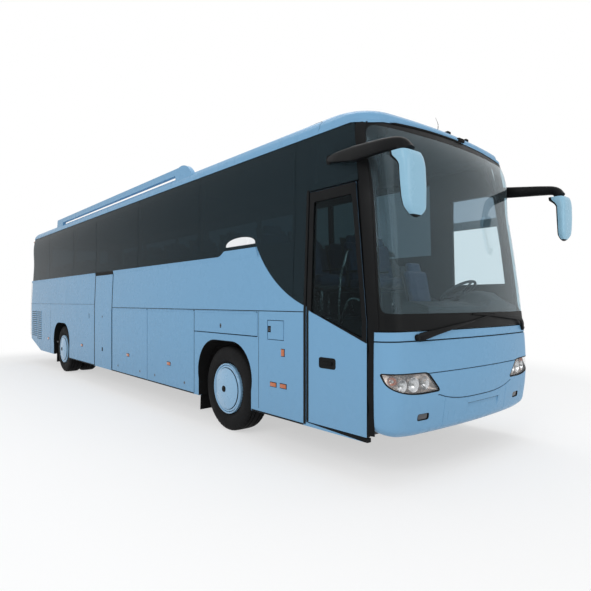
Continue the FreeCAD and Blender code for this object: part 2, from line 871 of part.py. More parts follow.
def bulkhead(number, place, rails_pass):
    """A cross wall from the bay floor's level up to the deck, with a slot where the frame passes."""
    plain = box("bulkhead_plain_%d" % number, (place, place + SHEET), (-wall_inside, wall_inside),
                (bay_floor_height, floor_foot))
    if number == 0:
        slot_half, slot_top = rail_half - 28, tow_z + 52
    elif rails_pass:
        slot_half, slot_top = rail_half + rail_breadth, rail_top
    else:
        return plain
    return cut("bulkhead_%d" % number, plain, box(
        "bulkhead_slot_%d" % number, (place - 5, place + SHEET + 5), (-slot_half, slot_half),
        (bay_floor_height - 10, slot_top)))


cross_walls = [bulkhead(number, place, rails_pass) for number, (place, rails_pass) in enumerate(BULKHEADS)]
service_room = box("service_room", (bay_front - 5, bay_front + SHEET + 5), (-far, -inner_half),
                   (crease_height - service_flap_height - 20, floor_height))
cross_walls[1] = cut("bay_front_wall", cross_walls[1], service_room)
bay_floor = box("bay_floor", (bay_rear, bay_front + SHEET), (-inner_half, inner_half),
                (bay_floor_height - 30, bay_floor_height))
bay = fuse("bay", bay_floor, cross_walls[1], cross_walls[2])
luggage_bay = gather("luggage_bay", bay, cross_walls[0], *cross_walls[3:])

rail_front_end = front_axle + 640
rail_rear_end = tail + 500
# each stretch of the frame's two long rails
RAILS = [
    ("front", bay_front + SHEET, rail_front_end),
    ("rear", rail_rear_end, mid_door_rear - 30),
]


def both_sides(name, along, near, outer, upward):
    """The same box on the coach's right and left, near and outer away from its middle."""
    return [
        box(name + "_right", along, (-outer, -near), upward),
        box(name + "_left", along, (near, outer), upward),
    ]


rails = []
for name, rear_end, front_end in RAILS:
    rails += both_sides("rail_" + name, (rear_end, front_end), rail_half, rail_half + rail_breadth,
                        (rail_top - RAIL_DEPTH, rail_top))
chassis_rails = gather("chassis_rails", *rails)
CROSS_MEMBERS = [rear_axle - 520, rear_axle + 520, mid_door_rear - 120, front_axle - 560, front_axle + 380]
members = [
    box("cross_%d" % number, (place - 35, place + 35), (-rail_half, rail_half), (rail_top - 110, rail_top - 10))
    for number, place in enumerate(CROSS_MEMBERS)
]
nose_rail_half = rail_half - 30
nose_parts = both_sides("nose_rail", (rail_front_end, door_front + 90), nose_rail_half - rail_breadth, nose_rail_half,
                        (tow_z - 50, tow_z + 50))
nose_parts += both_sides("nose_post", (rail_front_end, rail_front_end + rail_breadth), nose_rail_half - rail_breadth,
                         rail_half + rail_breadth, (tow_z - 50, rail_top))
nose_parts.append(box("nose_beam", (door_front + 30, door_front + 90), (tow_y - 60, nose_rail_half),
                      (tow_z - 50, tow_z + 50)))
nose_parts.append(box("tow_bracket", (door_front - 60, door_front + 150), (tow_y - 60, tow_y + 60),
                      (tow_z - 60, tow_z + 60)))
tow_bore = cylinder("tow_bore", (door_front + 30, tow_y, tow_z), 21, 200, FORWARD)
nose_frame = cut("nose_frame", fuse("nose_frame_plain", *nose_parts), tow_bore)
cross_members = gather("cross_members", nose_frame, *members)

# ---------------------------------------------------------------- engine, roof unit and rails
engine = box("engine", (tail + 380, tail + 1750), (-rail_half, rail_half), (sill_height + 110, floor_foot - 120))
roof_unit = shaped("roof_unit_outline", Part.makeLoft([
    Part.makePolygon([point(x, y, z) for x, y in ((a, -w), (b, -w), (b, w), (a, w), (a, -w))])
    for a, b, w, z in (
        (-2600, 700, 560, float(roof_height) - 80),
        (-2570, 670, 550, float(roof_height) + 60),
        (-2450, 520, 500, float(roof_height) + 125),
    )
], True, True))
roof_ac_unit = cut("roof_ac_unit", roof_unit, roof_outside)
rail_y = half_width - side_lean - 55
rail_rear = rear_axle - 660
rail_front = rail_rear + roof_rail_length
rail_foot = glass_top_height + 121 + roof_rail_gap


def roof_rail(name, low):
    """One rail along the roof's edge, standing on its two ends over a gap, its front end swept down."""
    beam = side_prism(name + "_beam", [
        (rail_rear - 60, rail_foot - 160),
        (rail_rear, rail_foot + roof_rail_height),
        (rail_front - 300, rail_foot + roof_rail_height),
        (rail_front - 60, rail_foot + roof_rail_height - 22, rail_front + 130, rail_foot - 160),
    ], (low, low + 62))
    slot = side_prism(name + "_slot", [
        (rail_rear + 400, rail_foot - 200),
        (rail_rear + 440, rail_foot),
        (rail_front - 420, rail_foot),
        (rail_front - 340, rail_foot - 200),
    ], (low - 20, low + 90))
    return cut(name, beam, slot, roof_outside)


rail_right = roof_rail("rail_right", -rail_y - 31)
rail_left = roof_rail("rail_left", rail_y - 31)
roof_rails = gather("roof_rails", rail_right, rail_left)

# ---------------------------------------------------------------- cab and seats
driver_y = 620
dash_block = side_prism("dash_block", [
    (door_front - 130, cab_floor_height),
    (door_front - 170, cab_floor_height + 400),
    (door_front - 215, cab_floor_height + 600),
    (door_front - 160, cab_floor_height + 715),
    (door_front, cab_floor_height + 750),
    (door_front + 260, cab_floor_height + 690),
    (door_front + 260, cab_floor_height + 300),
    (door_front + 60, cab_floor_height),
], (-650, half_width - 160))
dashboard = common("dashboard", dash_block, envelope("dash_room", BODY, float(wall) + 30))
wheel_x = door_front - 310
wheel_tilt = FreeCAD.Rotation(LEFTWARD, -32)
steering_ring = doc.addObject("Part::Torus", "steering_ring")
bind(steering_ring, x=wheel_x, y=Size(driver_y, "%d" % driver_y), z=cab_floor_height + 745,
     Radius1=Size(225, "225"), Radius2=Size(16, "16"))
steering_ring.Placement.Rotation = wheel_tilt
column = doc.addObject("Part::Cylinder", "steering_column")
column.Placement.Rotation = FreeCAD.Rotation(LEFTWARD, 148)
bind(column, x=wheel_x - 10, y=Size(driver_y, "%d" % driver_y), z=cab_floor_height + 760,
     Radius=Size(42, "42"), Height=Size(330, "330"))
spoke = doc.addObject("Part::Box", "steering_spoke")
spoke.Placement.Rotation = wheel_tilt
bind(spoke, x=wheel_x - 16, y=Size(driver_y - 225, "%d" % (driver_y - 225)), z=cab_floor_height + 735,
     Length=Size(36, "36"), Width=Size(450, "450"), Height=Size(14, "14"))
steering_wheel = cut("steering_wheel", fuse("steering_plain", steering_ring, spoke, column), dash_block)


def seat(name, back_x, base, low, high, tall):
    """A seat seen from the side: a pedestal, a cushion and a back that leans, carried across its width."""
    return side_prism(name, [
        (back_x + 110, base),
        (back_x + 60, base + 330),
        (back_x - 20, base + 420),
        (back_x - 170, base + tall - 70),
        (back_x - 120, base + tall, back_x - 60, base + tall - 60),
        (back_x + 90, base + 470),
        (back_x + 430, base + 500),
        (back_x + 460, base + 440, back_x + 430, base + 385),
        (back_x + 360, base + 330),
        (back_x + 300, base),
    ], (low, high))


driver_seat = seat("driver_seat", door_rear - 20, cab_floor_height, driver_y - 250, driver_y + 250, 1120)
benches = []
rows = int((float(deck_front) - float(tail) - 900) // float(seat_pitch))
for row in range(rows):
    back = deck_front - 560 - seat_pitch * row
    over_well = float(back) + 480 > float(mid_door_rear) - 20 and float(back) - 180 < float(mid_door_front) + 20
    for side, sign in (("right", -1), ("left", 1)):
        if side == "right" and over_well:
            continue
        inner = aisle_width / 2
        low = -inner - bench_width if sign < 0 else inner
        benches.append(seat("bench_%s_%d" % (side, row), back, floor_height, low, low + bench_width, 1120))
seats = gather("seats", driver_seat, *benches)

# ---------------------------------------------------------------- axles and knuckles
kingpin_y = tyre_outer - kingpin_offset
EYE_RADIUS = 55
EYE_HALF = 80
fork_half = EYE_HALF + 6
beam_box = box("beam_box", (front_axle - 50, front_axle + 50), (-kingpin_y + 20, kingpin_y - 20),
               (axle_height - 55, axle_height + 55))
eyes = []
eye_bores = []
for side, sign in (("right", -1), ("left", 1)):
    y = kingpin_y * sign
    eyes.append(cylinder("eye_" + side, (front_axle, y, axle_height - EYE_HALF), EYE_RADIUS, 2 * EYE_HALF))
    eye_bores.append(cylinder("eye_bore_" + side, (front_axle, y, axle_height - 200),
                              kingpin_radius + running_clearance, 400))
jack_pad_front = box("jack_pad_front", (front_axle - 60, front_axle + 60), (-400, -280),
                     (axle_height - 75, axle_height - 54))
SPRING_RADIUS = 110


def air_springs(name, axle):
    """The two air springs that stand on an axle and carry the frame's rails."""
    foot = axle_height
    middle = rail_half + rail_breadth / 2
    return [
        cylinder("%s_%s" % (name, side), (axle, middle * sign, foot), SPRING_RADIUS, rail_top - RAIL_DEPTH - foot)
        for side, sign in (("right", -1), ("left", 1))
    ]


front_axle_beam = cut("front_axle", fuse("front_axle_plain", beam_box, jack_pad_front,
                                         *(eyes + air_springs("front_spring", front_axle))), *eye_bores)

knuckles = {}
for side, sign in (("right", -1), ("left", 1)):
    y = kingpin_y * sign
    face = y + sign * (EYE_RADIUS + 22)
    low, high = (face - 35, face) if sign < 0 else (face, face + 35)
    parts = [
        cylinder("kingpin_" + side, (front_axle, y, axle_height - fork_half - 30), kingpin_radius,
                 2 * (fork_half + 30)),
        box("fork_plate_" + side, (front_axle - 60, front_axle + 60), (low, high),
            (axle_height - fork_half - 40, axle_height + fork_half + 40)),
    ]
    for level, foot in (("top", axle_height + fork_half), ("foot", axle_height - fork_half - 40)):
        arm_low, arm_high = (low, y) if sign < 0 else (y, high)
        parts.append(box("fork_arm_%s_%s" % (level, side), (front_axle - 55, front_axle + 55),
                         (arm_low, arm_high), (foot, foot + 40)))
        parts.append(cylinder("fork_end_%s_%s" % (level, side), (front_axle, y, foot), 55, 40))
    stub_length = tyre_outer - 75 - (kingpin_y + EYE_RADIUS + 22)
    parts.append(cylinder("stub_" + side, (front_axle, face, axle_height), stub_radius, stub_length,
                          LEFTWARD * sign))
    knuckles[side] = fuse("knuckle_" + side, *parts)

rear_tube = cylinder("rear_tube", (rear_axle, -(tyre_outer - 75), axle_height), stub_radius,
                     (tyre_outer - 75) * 2, LEFTWARD)
hub_inner = tyre_outer - tyre_width - twin_spacing + 60
rear_sleeve = cylinder("rear_sleeve", (rear_axle, -(hub_inner - 60), axle_height), 85, (hub_inner - 60) * 2, LEFTWARD)
differential = cylinder("differential", (rear_axle, -210, axle_height), 225, 420, LEFTWARD)
pinion_nose = cylinder("pinion_nose", (rear_axle - 480, 0, axle_height), 95, 480, FORWARD)
jack_pad_rear = box("jack_pad_rear", (rear_axle - 60, rear_axle + 60), (-400, -280),
                    (axle_height - 105, axle_height - 60))
rear_axle_housing = fuse("rear_axle", rear_tube, rear_sleeve, differential, pinion_nose, jack_pad_rear,
                         *air_springs("rear_spring", rear_axle))

# ---------------------------------------------------------------- wheels
rim_seat = rim_diameter / 2


def turned(name, profile, place, turn):
    """A PartDesign body turned about its own X axis from an outline of (across, radius) corners."""
    body = doc.addObject("PartDesign::Body", name)
    sketch = body.newObject("Sketcher::SketchObject", name + "_profile")
    plane = [f for f in body.Origin.OriginFeatures if f.Role == "XY_Plane"][0]
    axis = [f for f in body.Origin.OriginFeatures if f.Role == "X_Axis"][0]
    sketch.AttachmentSupport = [(plane, "")]
    sketch.MapMode = "FlatFace"
    here = profile[0][-2:]
    for step in profile[1:] + profile[:1]:
        there = step[-2:]
        start = point(here[0], here[1], 0)
        end = point(there[0], there[1], 0)
        if len(step) == 4:
            sketch.addGeometry(Part.Arc(start, point(step[0], step[1], 0), end), False)
        else:
            sketch.addGeometry(Part.LineSegment(start, end), False)
        here = there
    revolution = body.newObject("PartDesign::Revolution", name + "_turned")
    revolution.Profile = sketch
    revolution.ReferenceAxis = (axis, [""])
    revolution.Angle = 360
    body.Placement = FreeCAD.Placement(point(*place), FreeCAD.Rotation(UP, turn))
    return bind(body, x=place[0], y=place[1], z=place[2])


def tyre_profile():
    """Across the tyre from its outer sidewall inward: bead, bulged sidewalls, shoulders and tread."""
    wide = float(tyre_width)
    seat_r = float(rim_seat)
    out = float(tyre_diameter) / 2
    bead = 26
    bulge = seat_r + 0.42 * (out - seat_r)
    shoulder_r = out - 22
    over_flange = seat_r + float(rim_flange) + 1
    return [
        (bead, seat_r),
        (bead, over_flange),
        (-2, bulge, 14, shoulder_r),
        (20, out - 8, 38, out),
        (wide - 38, out),
        (wide - 20, out - 8, wide - 14, shoulder_r),
        (wide + 2, bulge, wide - bead, over_flange),
        (wide - bead, seat_r),
    ]


def rim_profile(bore, with_trim):
    """A disc wheel from its outer face inward: trim disc, flange, barrel, inner flange and hub."""
    wide = float(tyre_width)
    seat_r = float(rim_seat)
    lip = seat_r + float(rim_flange)
    barrel = seat_r - 16
    face = 26 if with_trim else 92
    hub = 150
    return [
        (face + 34, bore),
        (face + 26, 62),
        (face + 24, 86),
        (face, 128),
        (face - 4, barrel - 70, face + 12, barrel - 6),
        (14, barrel),
        (12, lip),
        (25, lip),
        (26, seat_r),
        (wide - 26, seat_r),
        (wide - 25, lip),
        (wide - 12, lip),
        (wide - 14, barrel),
        (face + 30, barrel),
        (face + 30, hub),
        (wide - 60, hub),
        (wide - 60, bore),
    ]


bore_radius = float(stub_radius) + float(running_clearance)
WHEELS = [("front_right", front_axle, -1, 1), ("front_left", front_axle, 1, 1),
          ("rear_right", rear_axle, -1, 2), ("rear_left", rear_axle, 1, 2)]
tyres = {}
rims = {}
for name, axle, sign, count in WHEELS:
    made_tyres = []
    made_rims = []
    turn = 90 if sign < 0 else -90
    for number in range(count):
        place = (axle, (tyre_outer - twin_spacing * number) * sign, axle_height)
        made_tyres.append(turned("tyre_%s_%d" % (name, number), tyre_profile(), place, turn))
        made_rims.append(turned("rim_%s_%d" % (name, number), rim_profile(bore_radius, number == 0), place, turn))
    if count == 1:
        tyres[name] = made_tyres[0]
        rims[name] = made_rims[0]
        continue
    tyres[name] = gather("tyres_" + name, *made_tyres)
    spacer_low = tyre_outer - twin_spacing - 120
    spacer_place = (axle, spacer_low * sign, axle_height)
    spacer = cylinder("spacer_" + name, spacer_place, 120, twin_spacing, LEFTWARD * sign)
    spacer_bore = cylinder("spacer_bore_" + name, (axle, (spacer_low - 10) * sign, axle_height),
                           bore_radius, twin_spacing + 40, LEFTWARD * sign)
    rims[name] = fuse("rims_" + name, cut("spacer_ring_" + name, spacer, spacer_bore), *made_rims)

# ---------------------------------------------------------------- mirrors and wipers


def rounded(x, y, z, deep, wide, corner):
    """A level rounded rectangle about (x, y), deep along X and wide along Y."""
    low_x, high_x, low_y, high_y = x - deep / 2, x + deep / 2, y - wide / 2, y + wide / 2
    c = corner
    k = c * (1 - math.sqrt(0.5))
    corners = [
        ((low_x, low_y + c), (low_x + k, low_y + k), (low_x + c, low_y)),
        ((high_x - c, low_y), (high_x - k, low_y + k), (high_x, low_y + c)),
        ((high_x, high_y - c), (high_x - k, high_y - k), (high_x - c, high_y)),
        ((low_x + c, high_y), (low_x + k, high_y - k), (low_x, high_y - c)),
    ]
    edges = []
    for number, arc in enumerate(corners):
        edges.append(Part.Arc(*[VECTOR(a, b, z) for a, b in arc]).toShape())
        following = corners[(number + 1) % 4][0]
        edges.append(Part.makeLine(VECTOR(*arc[2], z), VECTOR(*following, z)))
    return Part.Wire(edges)


mirror_x = float(nose) + 215
mirror_y = float(half_width) + 140
head_top = float(glass_top_height) - 455
# ahead of the mirror head, out from the head's middle, above the head's top, arm's half height, half width
ARM = [
    (-1090, -185, 140, 20, 24),
    (-800, -150, 112, 62, 46),
    (-380, -70, 78, 60, 44),
    (-60, -12, 42, 54, 48),
    (50, 0, 22, 30, 50),
]
# down from the head's top, its depth, its width, its corner, forward of the middle
HEAD = [
    (0, 110, 190, 45, 0),
    (40, 160, 270, 60, 0),
    (300, 170, 290, 60, 10),
    (455, 150, 262, 58, 4),
    (520, 80, 170, 38, -8),
]
arm_wires = []
for ahead, out, above, tall, broad in ARM:
    x, y, z = mirror_x + ahead, mirror_y + out, head_top + above
    ring = [VECTOR(x, y + broad * math.cos(a), z + tall * math.sin(a))
            for a in [math.radians(22.5 + 45 * n) for n in range(8)]]
    arm_wires.append(Part.makePolygon(ring + ring[:1]))
arm_left = cut("arm_left", shaped("arm_left_plain", Part.makeLoft(arm_wires, True, True)), shaped(
    "arm_left_head_room", Part.makeBox(1000, 1000, 700, VECTOR(mirror_x - 500, mirror_y - 500, head_top - 700))))
arm_left_clear = cut("arm_left_clear", arm_left, envelope("arm_room", BODY, float(glass_inset)))
head_left = shaped("head_left", Part.makeLoft(
    [rounded(mirror_x + ahead, mirror_y, head_top - down, deep, wide, corner)
     for down, deep, wide, corner, ahead in HEAD], True, True))
mirror_left = fuse("mirror_left", arm_left_clear, head_left)
mirrors = gather("mirrors", mirror_left, mirrored("mirror_right", mirror_left))


def bar(name, start, end, wide, tall):
    """A thin straight bar of rectangular section from one point to another."""
    run = end - start
    made = Part.makeBox(tall, wide, run.Length, VECTOR(-tall / 2, -wide / 2, 0))
    made.Placement = FreeCAD.Placement(start, FreeCAD.Rotation(UP, run))
    return shaped(name, made)


def screen_x(height, y):
    """How far forward the glass's outer face stands at a height and a distance off the centre line."""
    low, high = BODY[2], BODY[4]
    share = (height - low[0]) / (high[0] - low[0])
    back = low[2] + share * (high[2] - low[2])
    arc = low[4] + share * (high[4] - low[4])
    return float(nose) - back - (arc - math.sqrt(arc * arc - y * y)) - float(glass_inset)


wipers = []
base_z = float(screen_base_height)
for number, (pivot_y, tip_y, tip_up) in enumerate(((-980, 60, 95), (70, 1000, 150))):
    pivot = VECTOR(screen_x(base_z, pivot_y) + 40, pivot_y, base_z - 12)
    heel_y = pivot_y + 0.12 * (tip_y - pivot_y)
    heel = VECTOR(screen_x(base_z + 45, heel_y) + 32, heel_y, base_z + 45)
    tip = VECTOR(screen_x(base_z + tip_up, tip_y) + 32, tip_y, base_z + tip_up)
    elbow = heel + (tip - heel) * 0.5 + VECTOR(12, 0, 0)
    wipers.append(fuse(
        "wiper_%d" % number,
        bar("wiper_arm_%d" % number, pivot, elbow, 22, 14),
        bar("wiper_blade_%d" % number, heel, tip, 20, 26),
        shaped("wiper_pivot_%d" % number, Part.makeCylinder(22, 82, pivot - VECTOR(60, 0, 0), FORWARD)),
    ))
wiper_room = envelope("wiper_room", BODY, 0.0)
wiper_pair = gather("wiper_pair", *[cut("wiper_clear_%d" % number, made, wiper_room)
                                    for number, made in enumerate(wipers)])

# ---------------------------------------------------------------- sub-parts
for made, label in (
    (side_wall_right, "side_wall_right"),
    (side_wall_left, "side_wall_left"),
    (window_frames, "window_frames"),
    (cabin_glass, "cabin_glass"),
    (front_mask, "front_mask"),
    (front_bumper, "front_bumper"),
    (windscreen, "windscreen"),
    (lamps, "lamps"),
    (roof, "roof"),
    (roof_rails, "roof_rails"),
    (roof_ac_unit, "roof_ac_unit"),
    (rear_wall, "rear_wall"),
    (engine_lid, "engine_lid"),
    (engine, "engine"),
    (floor, "floor"),
    (entrance_steps, "entrance_steps"),
    (luggage_bay, "luggage_bay"),
    (chassis_rails, "chassis_rails"),
    (cross_members, "cross_members"),
    (dashboard, "dashboard"),
    (steering_wheel, "steering_wheel"),
    (seats, "seats"),
    (mirrors, "mirrors"),
    (wiper_pair, "wipers"),
    (front_axle_beam, "front_axle"),
    (rear_axle_housing, "rear_axle"),
    (knuckles["right"], "knuckle_right"),
    (knuckles["left"], "knuckle_left"),
    (front_door, "front_door"),
    (front_door_glass, "front_door_glass"),
    (flaps["mid_door"], "mid_door"),
    (flaps["service_flap"], "service_flap"),
    (flaps["fuel_flap"], "fuel_flap"),
    (flaps["luggage_flap_right_rear"], "luggage_flap_right_rear"),
    (flaps["luggage_flap_right_front"], "luggage_flap_right_front"),
    (flaps["luggage_flap_left_rear"], "luggage_flap_left_rear"),
    (flaps["luggage_flap_left_front"], "luggage_flap_left_front"),
    (tyres["front_right"], "tyre_front_right"),
    (tyres["front_left"], "tyre_front_left"),
    (tyres["rear_right"], "tyres_rear_right"),
    (tyres["rear_left"], "tyres_rear_left"),
    (rims["front_right"], "wheel_front_right"),
    (rims["front_left"], "wheel_front_left"),
    (rims["rear_right"], "wheels_rear_right"),
    (rims["rear_left"], "wheels_rear_left"),
):
    node(made, label)

doc.recompute()
for made in doc.Objects:
    if "Invalid" in made.State or "Error" in made.State:
        raise RuntimeError("%s (%s) did not build: %s" % (made.Name, made.Label, made.State))
for made in NODES:
    if made.Shape.isNull() or not made.Shape.isValid() or made.Shape.Volume <= 0:
        raise RuntimeError("%s has no valid shape" % made.Label)
os.makedirs("parts", exist_ok=True)
for made in NODES:
    made.Shape.exportStep("parts/%s.step" % made.Label)
print(len(NODES), "nodes written")
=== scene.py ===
"""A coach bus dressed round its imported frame: finishes, trim, soft seats, lamps, floor, light and camera.

Everything is in metres in the row frame: the origin lies on the ground midway between the axles,
X points forward, Y to the coach's left and Z up.
"""

import bmesh
import bpy
import numpy as np
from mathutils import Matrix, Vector


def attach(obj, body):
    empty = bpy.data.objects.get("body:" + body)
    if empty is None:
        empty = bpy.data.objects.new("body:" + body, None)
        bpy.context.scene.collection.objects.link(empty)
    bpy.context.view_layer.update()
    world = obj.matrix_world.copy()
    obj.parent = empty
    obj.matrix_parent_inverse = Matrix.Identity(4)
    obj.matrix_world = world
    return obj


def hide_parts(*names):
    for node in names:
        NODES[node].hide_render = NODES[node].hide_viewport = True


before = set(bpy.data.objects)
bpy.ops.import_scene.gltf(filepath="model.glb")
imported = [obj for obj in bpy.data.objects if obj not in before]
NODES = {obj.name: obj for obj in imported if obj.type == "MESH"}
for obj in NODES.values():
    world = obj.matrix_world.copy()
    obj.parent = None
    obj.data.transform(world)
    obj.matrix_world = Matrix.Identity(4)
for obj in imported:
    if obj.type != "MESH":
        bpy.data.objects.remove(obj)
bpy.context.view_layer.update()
SIDES = ((-1, "right"), (1, "left"))
SIGNS = (-1, 1)

# ---------------------------------------------------------------- finishes


def add(tree, kind, inputs=None, **settings):
    """A node of that kind; inputs gives socket values or links, settings the node's own properties."""
    node = tree.nodes.new(kind)
    for key, value in settings.items():
        setattr(node, key, value)
    for key, value in (inputs or {}).items():
        socket = node.inputs[key]
        if isinstance(value, bpy.types.NodeSocket):
            tree.links.new(value, socket)
        else:
            socket.default_value = value
    return node


def ramp(tree, factor, *stops):
    """A grey ramp from (place, grey) stops."""
    node = add(tree, "ShaderNodeValToRGB", {"Fac": factor})
    for element, (place, grey) in zip(node.color_ramp.elements, stops):
        element.position = place
        element.color = (grey,) * 3 + (1,)
    return node.outputs["Color"]


def blended(tree, factor, first, second):
    """Two colours mixed by a factor."""
    first, second = [value if isinstance(value, bpy.types.NodeSocket) else tuple(value) + (1,)
                     for value in (first, second)]
    return add(tree, "ShaderNodeMix", {0: factor, 6: first, 7: second}, data_type="RGBA").outputs[2]


def noise(tree, where, scale, detail=3.0, rough=0.5):
    """A soft cloud pattern, 0 to 1."""
    return add(tree, "ShaderNodeTexNoise", {"Vector": where, "Scale": scale, "Detail": detail,
                                            "Roughness": rough}).outputs["Fac"]


def wave(tree, where, scale, direction, distortion=0.0):
    """Bands side by side along one direction, 0 to 1."""
    return add(tree, "ShaderNodeTexWave", {"Vector": where, "Scale": scale, "Distortion": distortion},
               bands_direction=direction).outputs["Fac"]


def sums(tree, kind, first, second):
    """One step of arithmetic between two values."""
    return add(tree, "ShaderNodeMath", {0: first, 1: second}, operation=kind).outputs[0]


def blank(name):
    """A new material with its node tree, its shader and the object's own coordinates."""
    made = bpy.data.materials.new(name)
    made.use_nodes = True
    tree = made.node_tree
    return made, tree, tree.nodes["Principled BSDF"], add(tree, "ShaderNodeTexCoord").outputs["Object"]


def finish(name, colour, shade, grain=60.0, rough=(0.4, 0.5), bump=0.1, bump_scale=None, depth=0.001,
           pattern=None, worn=None, **shader_values):
    """A finish: two close colours in soft clouds, a roughness that wanders between two values and a fine bump.

    pattern(tree, where, colour, height) may change both; worn is a third colour in sparse patches.
    shader_values go straight on the shader's own sockets.
    """
    made, tree, shader, where = blank(name)
    clouds = noise(tree, where, grain * 0.12, 4.0)
    tint = blended(tree, clouds, colour, shade)
    height = noise(tree, where, bump_scale or grain * 4, 3.0, 0.6)
    if pattern:
        tint, height = pattern(tree, where, tint, height)
    if worn:
        patches = ramp(tree, noise(tree, where, grain * 0.3, 6.0, 0.7), (0.62, 0.0), (0.72, 1.0))
        tint = blended(tree, sums(tree, "MULTIPLY", patches, 0.5), tint, worn)
    tree.links.new(tint, shader.inputs["Base Color"])
    sheen = ramp(tree, noise(tree, where, grain * 0.4, 5.0, 0.65), (0.3, rough[0]), (0.7, rough[1]))
    tree.links.new(sheen, shader.inputs["Roughness"])
    if bump:
        relief = add(tree, "ShaderNodeBump", {"Strength": bump, "Distance": depth, "Height": height})
        tree.links.new(relief.outputs["Normal"], shader.inputs["Normal"])
    for key, value in shader_values.items():
        shader.inputs[key.replace("_", " ")].default_value = value
    made.diffuse_color = tuple(colour) + (1,)
    return made


def road_film(tree, where, tint, height):
    """Dust that thickens towards the road: a height ramp broken up by clouds."""
    upward = add(tree, "ShaderNodeSeparateXYZ", {"Vector": where}).outputs["Z"]
    low = ramp(tree, sums(tree, "DIVIDE", upward, 1.2), (0.2, 1.0), (0.9, 0.0))
    streaks = noise(tree, add(tree, "ShaderNodeMapping", {"Vector": where, "Scale": (6, 6, 1)}).outputs[0], 3.0, 6.0)
    amount = sums(tree, "MULTIPLY", sums(tree, "MULTIPLY", low, streaks), 0.09)
    return blended(tree, amount, tint, (0.30, 0.31, 0.30)), height


def ribbed(tree, where, tint, height):
    """Fine ribs a few millimetres apart across the floor covering."""
    ribs = wave(tree, where, 38.0, "Y", 0.2)
    return blended(tree, sums(tree, "MULTIPLY", ribs, 0.3), tint, (0.05, 0.05, 0.055)), ribs


def woven(tree, where, tint, height):
    """Cloth: two crossing sets of threads about a millimetre apart, with soft flecks."""
    across, upward = [wave(tree, where, 160.0, direction, 0.6) for direction in "YZ"]
    weave = sums(tree, "MULTIPLY", across, upward)
    flecks = ramp(tree, noise(tree, where, 130.0, 2.0), (0.58, 0.0), (0.62, 1.0))
    tint = blended(tree, sums(tree, "MULTIPLY", flecks, 0.5), tint, (0.16, 0.25, 0.40))
    return blended(tree, sums(tree, "MULTIPLY", weave, 0.35), tint, (0.02, 0.025, 0.05)), weave


def faceted(tree, where, tint, height):
    """Lamp glass: small moulded ribs side by side."""
    return tint, wave(tree, where, 30.0, "Y")


def glass(name, colour, shade, bend, through=1.0, rough=0.005, **shader_values):
    """A pane's finish: smooth and see-through, bending light by its own amount."""
    return finish(name, colour, shade, grain=3, rough=(0.0, rough), bump=0, Transmission_Weight=through, IOR=bend,
                  **shader_values)


PAINT = (0.180, 0.365, 0.560)
GLASS_TINT = (0.62, 0.86, 1.0, 1.0)
BLACK = (0.0055, 0.0060, 0.0066)
paint = finish("body_paint", PAINT, (0.174, 0.358, 0.553), grain=9, rough=(0.24, 0.32), bump=0.006, bump_scale=300,
               depth=0.0004, pattern=road_film, Coat_Weight=0.04, Coat_Roughness=0.12, Specular_IOR_Level=0.07)
mirror_paint = finish("mirror_paint", (0.270, 0.480, 0.620), (0.260, 0.468, 0.608), grain=9, rough=(0.22, 0.30),
                      bump=0.02, bump_scale=420, depth=0.0004, Coat_Weight=0.08, Coat_Roughness=0.1,
                      Specular_IOR_Level=0.2)
cover = finish("unit_cover", (0.30, 0.47, 0.64), (0.27, 0.44, 0.61), grain=20, rough=(0.35, 0.45), bump=0.12,
               bump_scale=300, worn=(0.34, 0.40, 0.44))
trim = finish("black_trim", BLACK, (0.011, 0.0115, 0.012), grain=40, rough=(0.30, 0.42), bump=0.08, bump_scale=700,
              depth=0.0005, worn=(0.016, 0.016, 0.017), Specular_IOR_Level=0.06)
rubber = finish("seal_rubber", (0.007, 0.007, 0.007), (0.012, 0.012, 0.012), grain=60, rough=(0.55, 0.7), bump=0.2,
                bump_scale=500, depth=0.0006, Specular_IOR_Level=0.06)
tyre_rubber = finish("tyre_rubber", (0.0085, 0.0088, 0.0095), (0.014, 0.0138, 0.014), grain=16, rough=(0.62, 0.82),
                     bump=0.3, bump_scale=260, depth=0.0012, worn=(0.024, 0.023, 0.022), Specular_IOR_Level=0.08)
dark_glass = glass("tinted_glass", (0.082, 0.125, 0.148), (0.066, 0.104, 0.126), 1.075, 0.80, 0.01,
                   Specular_Tint=GLASS_TINT)
clear_glass = glass("clear_glass", (0.62, 0.75, 0.81), (0.59, 0.73, 0.79), 1.24, 0.97, Specular_Tint=GLASS_TINT)
door_glass = glass("door_glass", (0.20, 0.29, 0.30), (0.17, 0.25, 0.26), 1.17, Specular_Tint=GLASS_TINT)
side_glass = glass("side_glass", (0.97, 0.98, 0.98), (0.95, 0.97, 0.97), 1.12)
shade_glass = glass("shade_glass", (0.34, 0.40, 0.46), (0.30, 0.36, 0.42), 1.14)
lens = finish("lamp_lens", (0.80, 0.83, 0.86), (0.74, 0.77, 0.80), grain=12, rough=(0.04, 0.08), bump=0.30,
              depth=0.0012, pattern=faceted, Alpha=0.09)
reflector = finish("lamp_reflector", (0.66, 0.58, 0.52), (0.34, 0.27, 0.23), grain=90, rough=(0.22, 0.4), bump=0.35,
                   bump_scale=45, depth=0.004, Metallic=0.8)
red_lens = finish("red_lens", (0.52, 0.012, 0.010), (0.42, 0.010, 0.008), grain=40, rough=(0.12, 0.2), bump=0.3,
                  depth=0.001, pattern=faceted, Coat_Weight=0.6)
amber_lens = finish("amber_lens", (0.50, 0.115, 0.018), (0.42, 0.09, 0.014), grain=40, rough=(0.12, 0.2), bump=0.3,
                    depth=0.001, pattern=faceted, Coat_Weight=0.6)
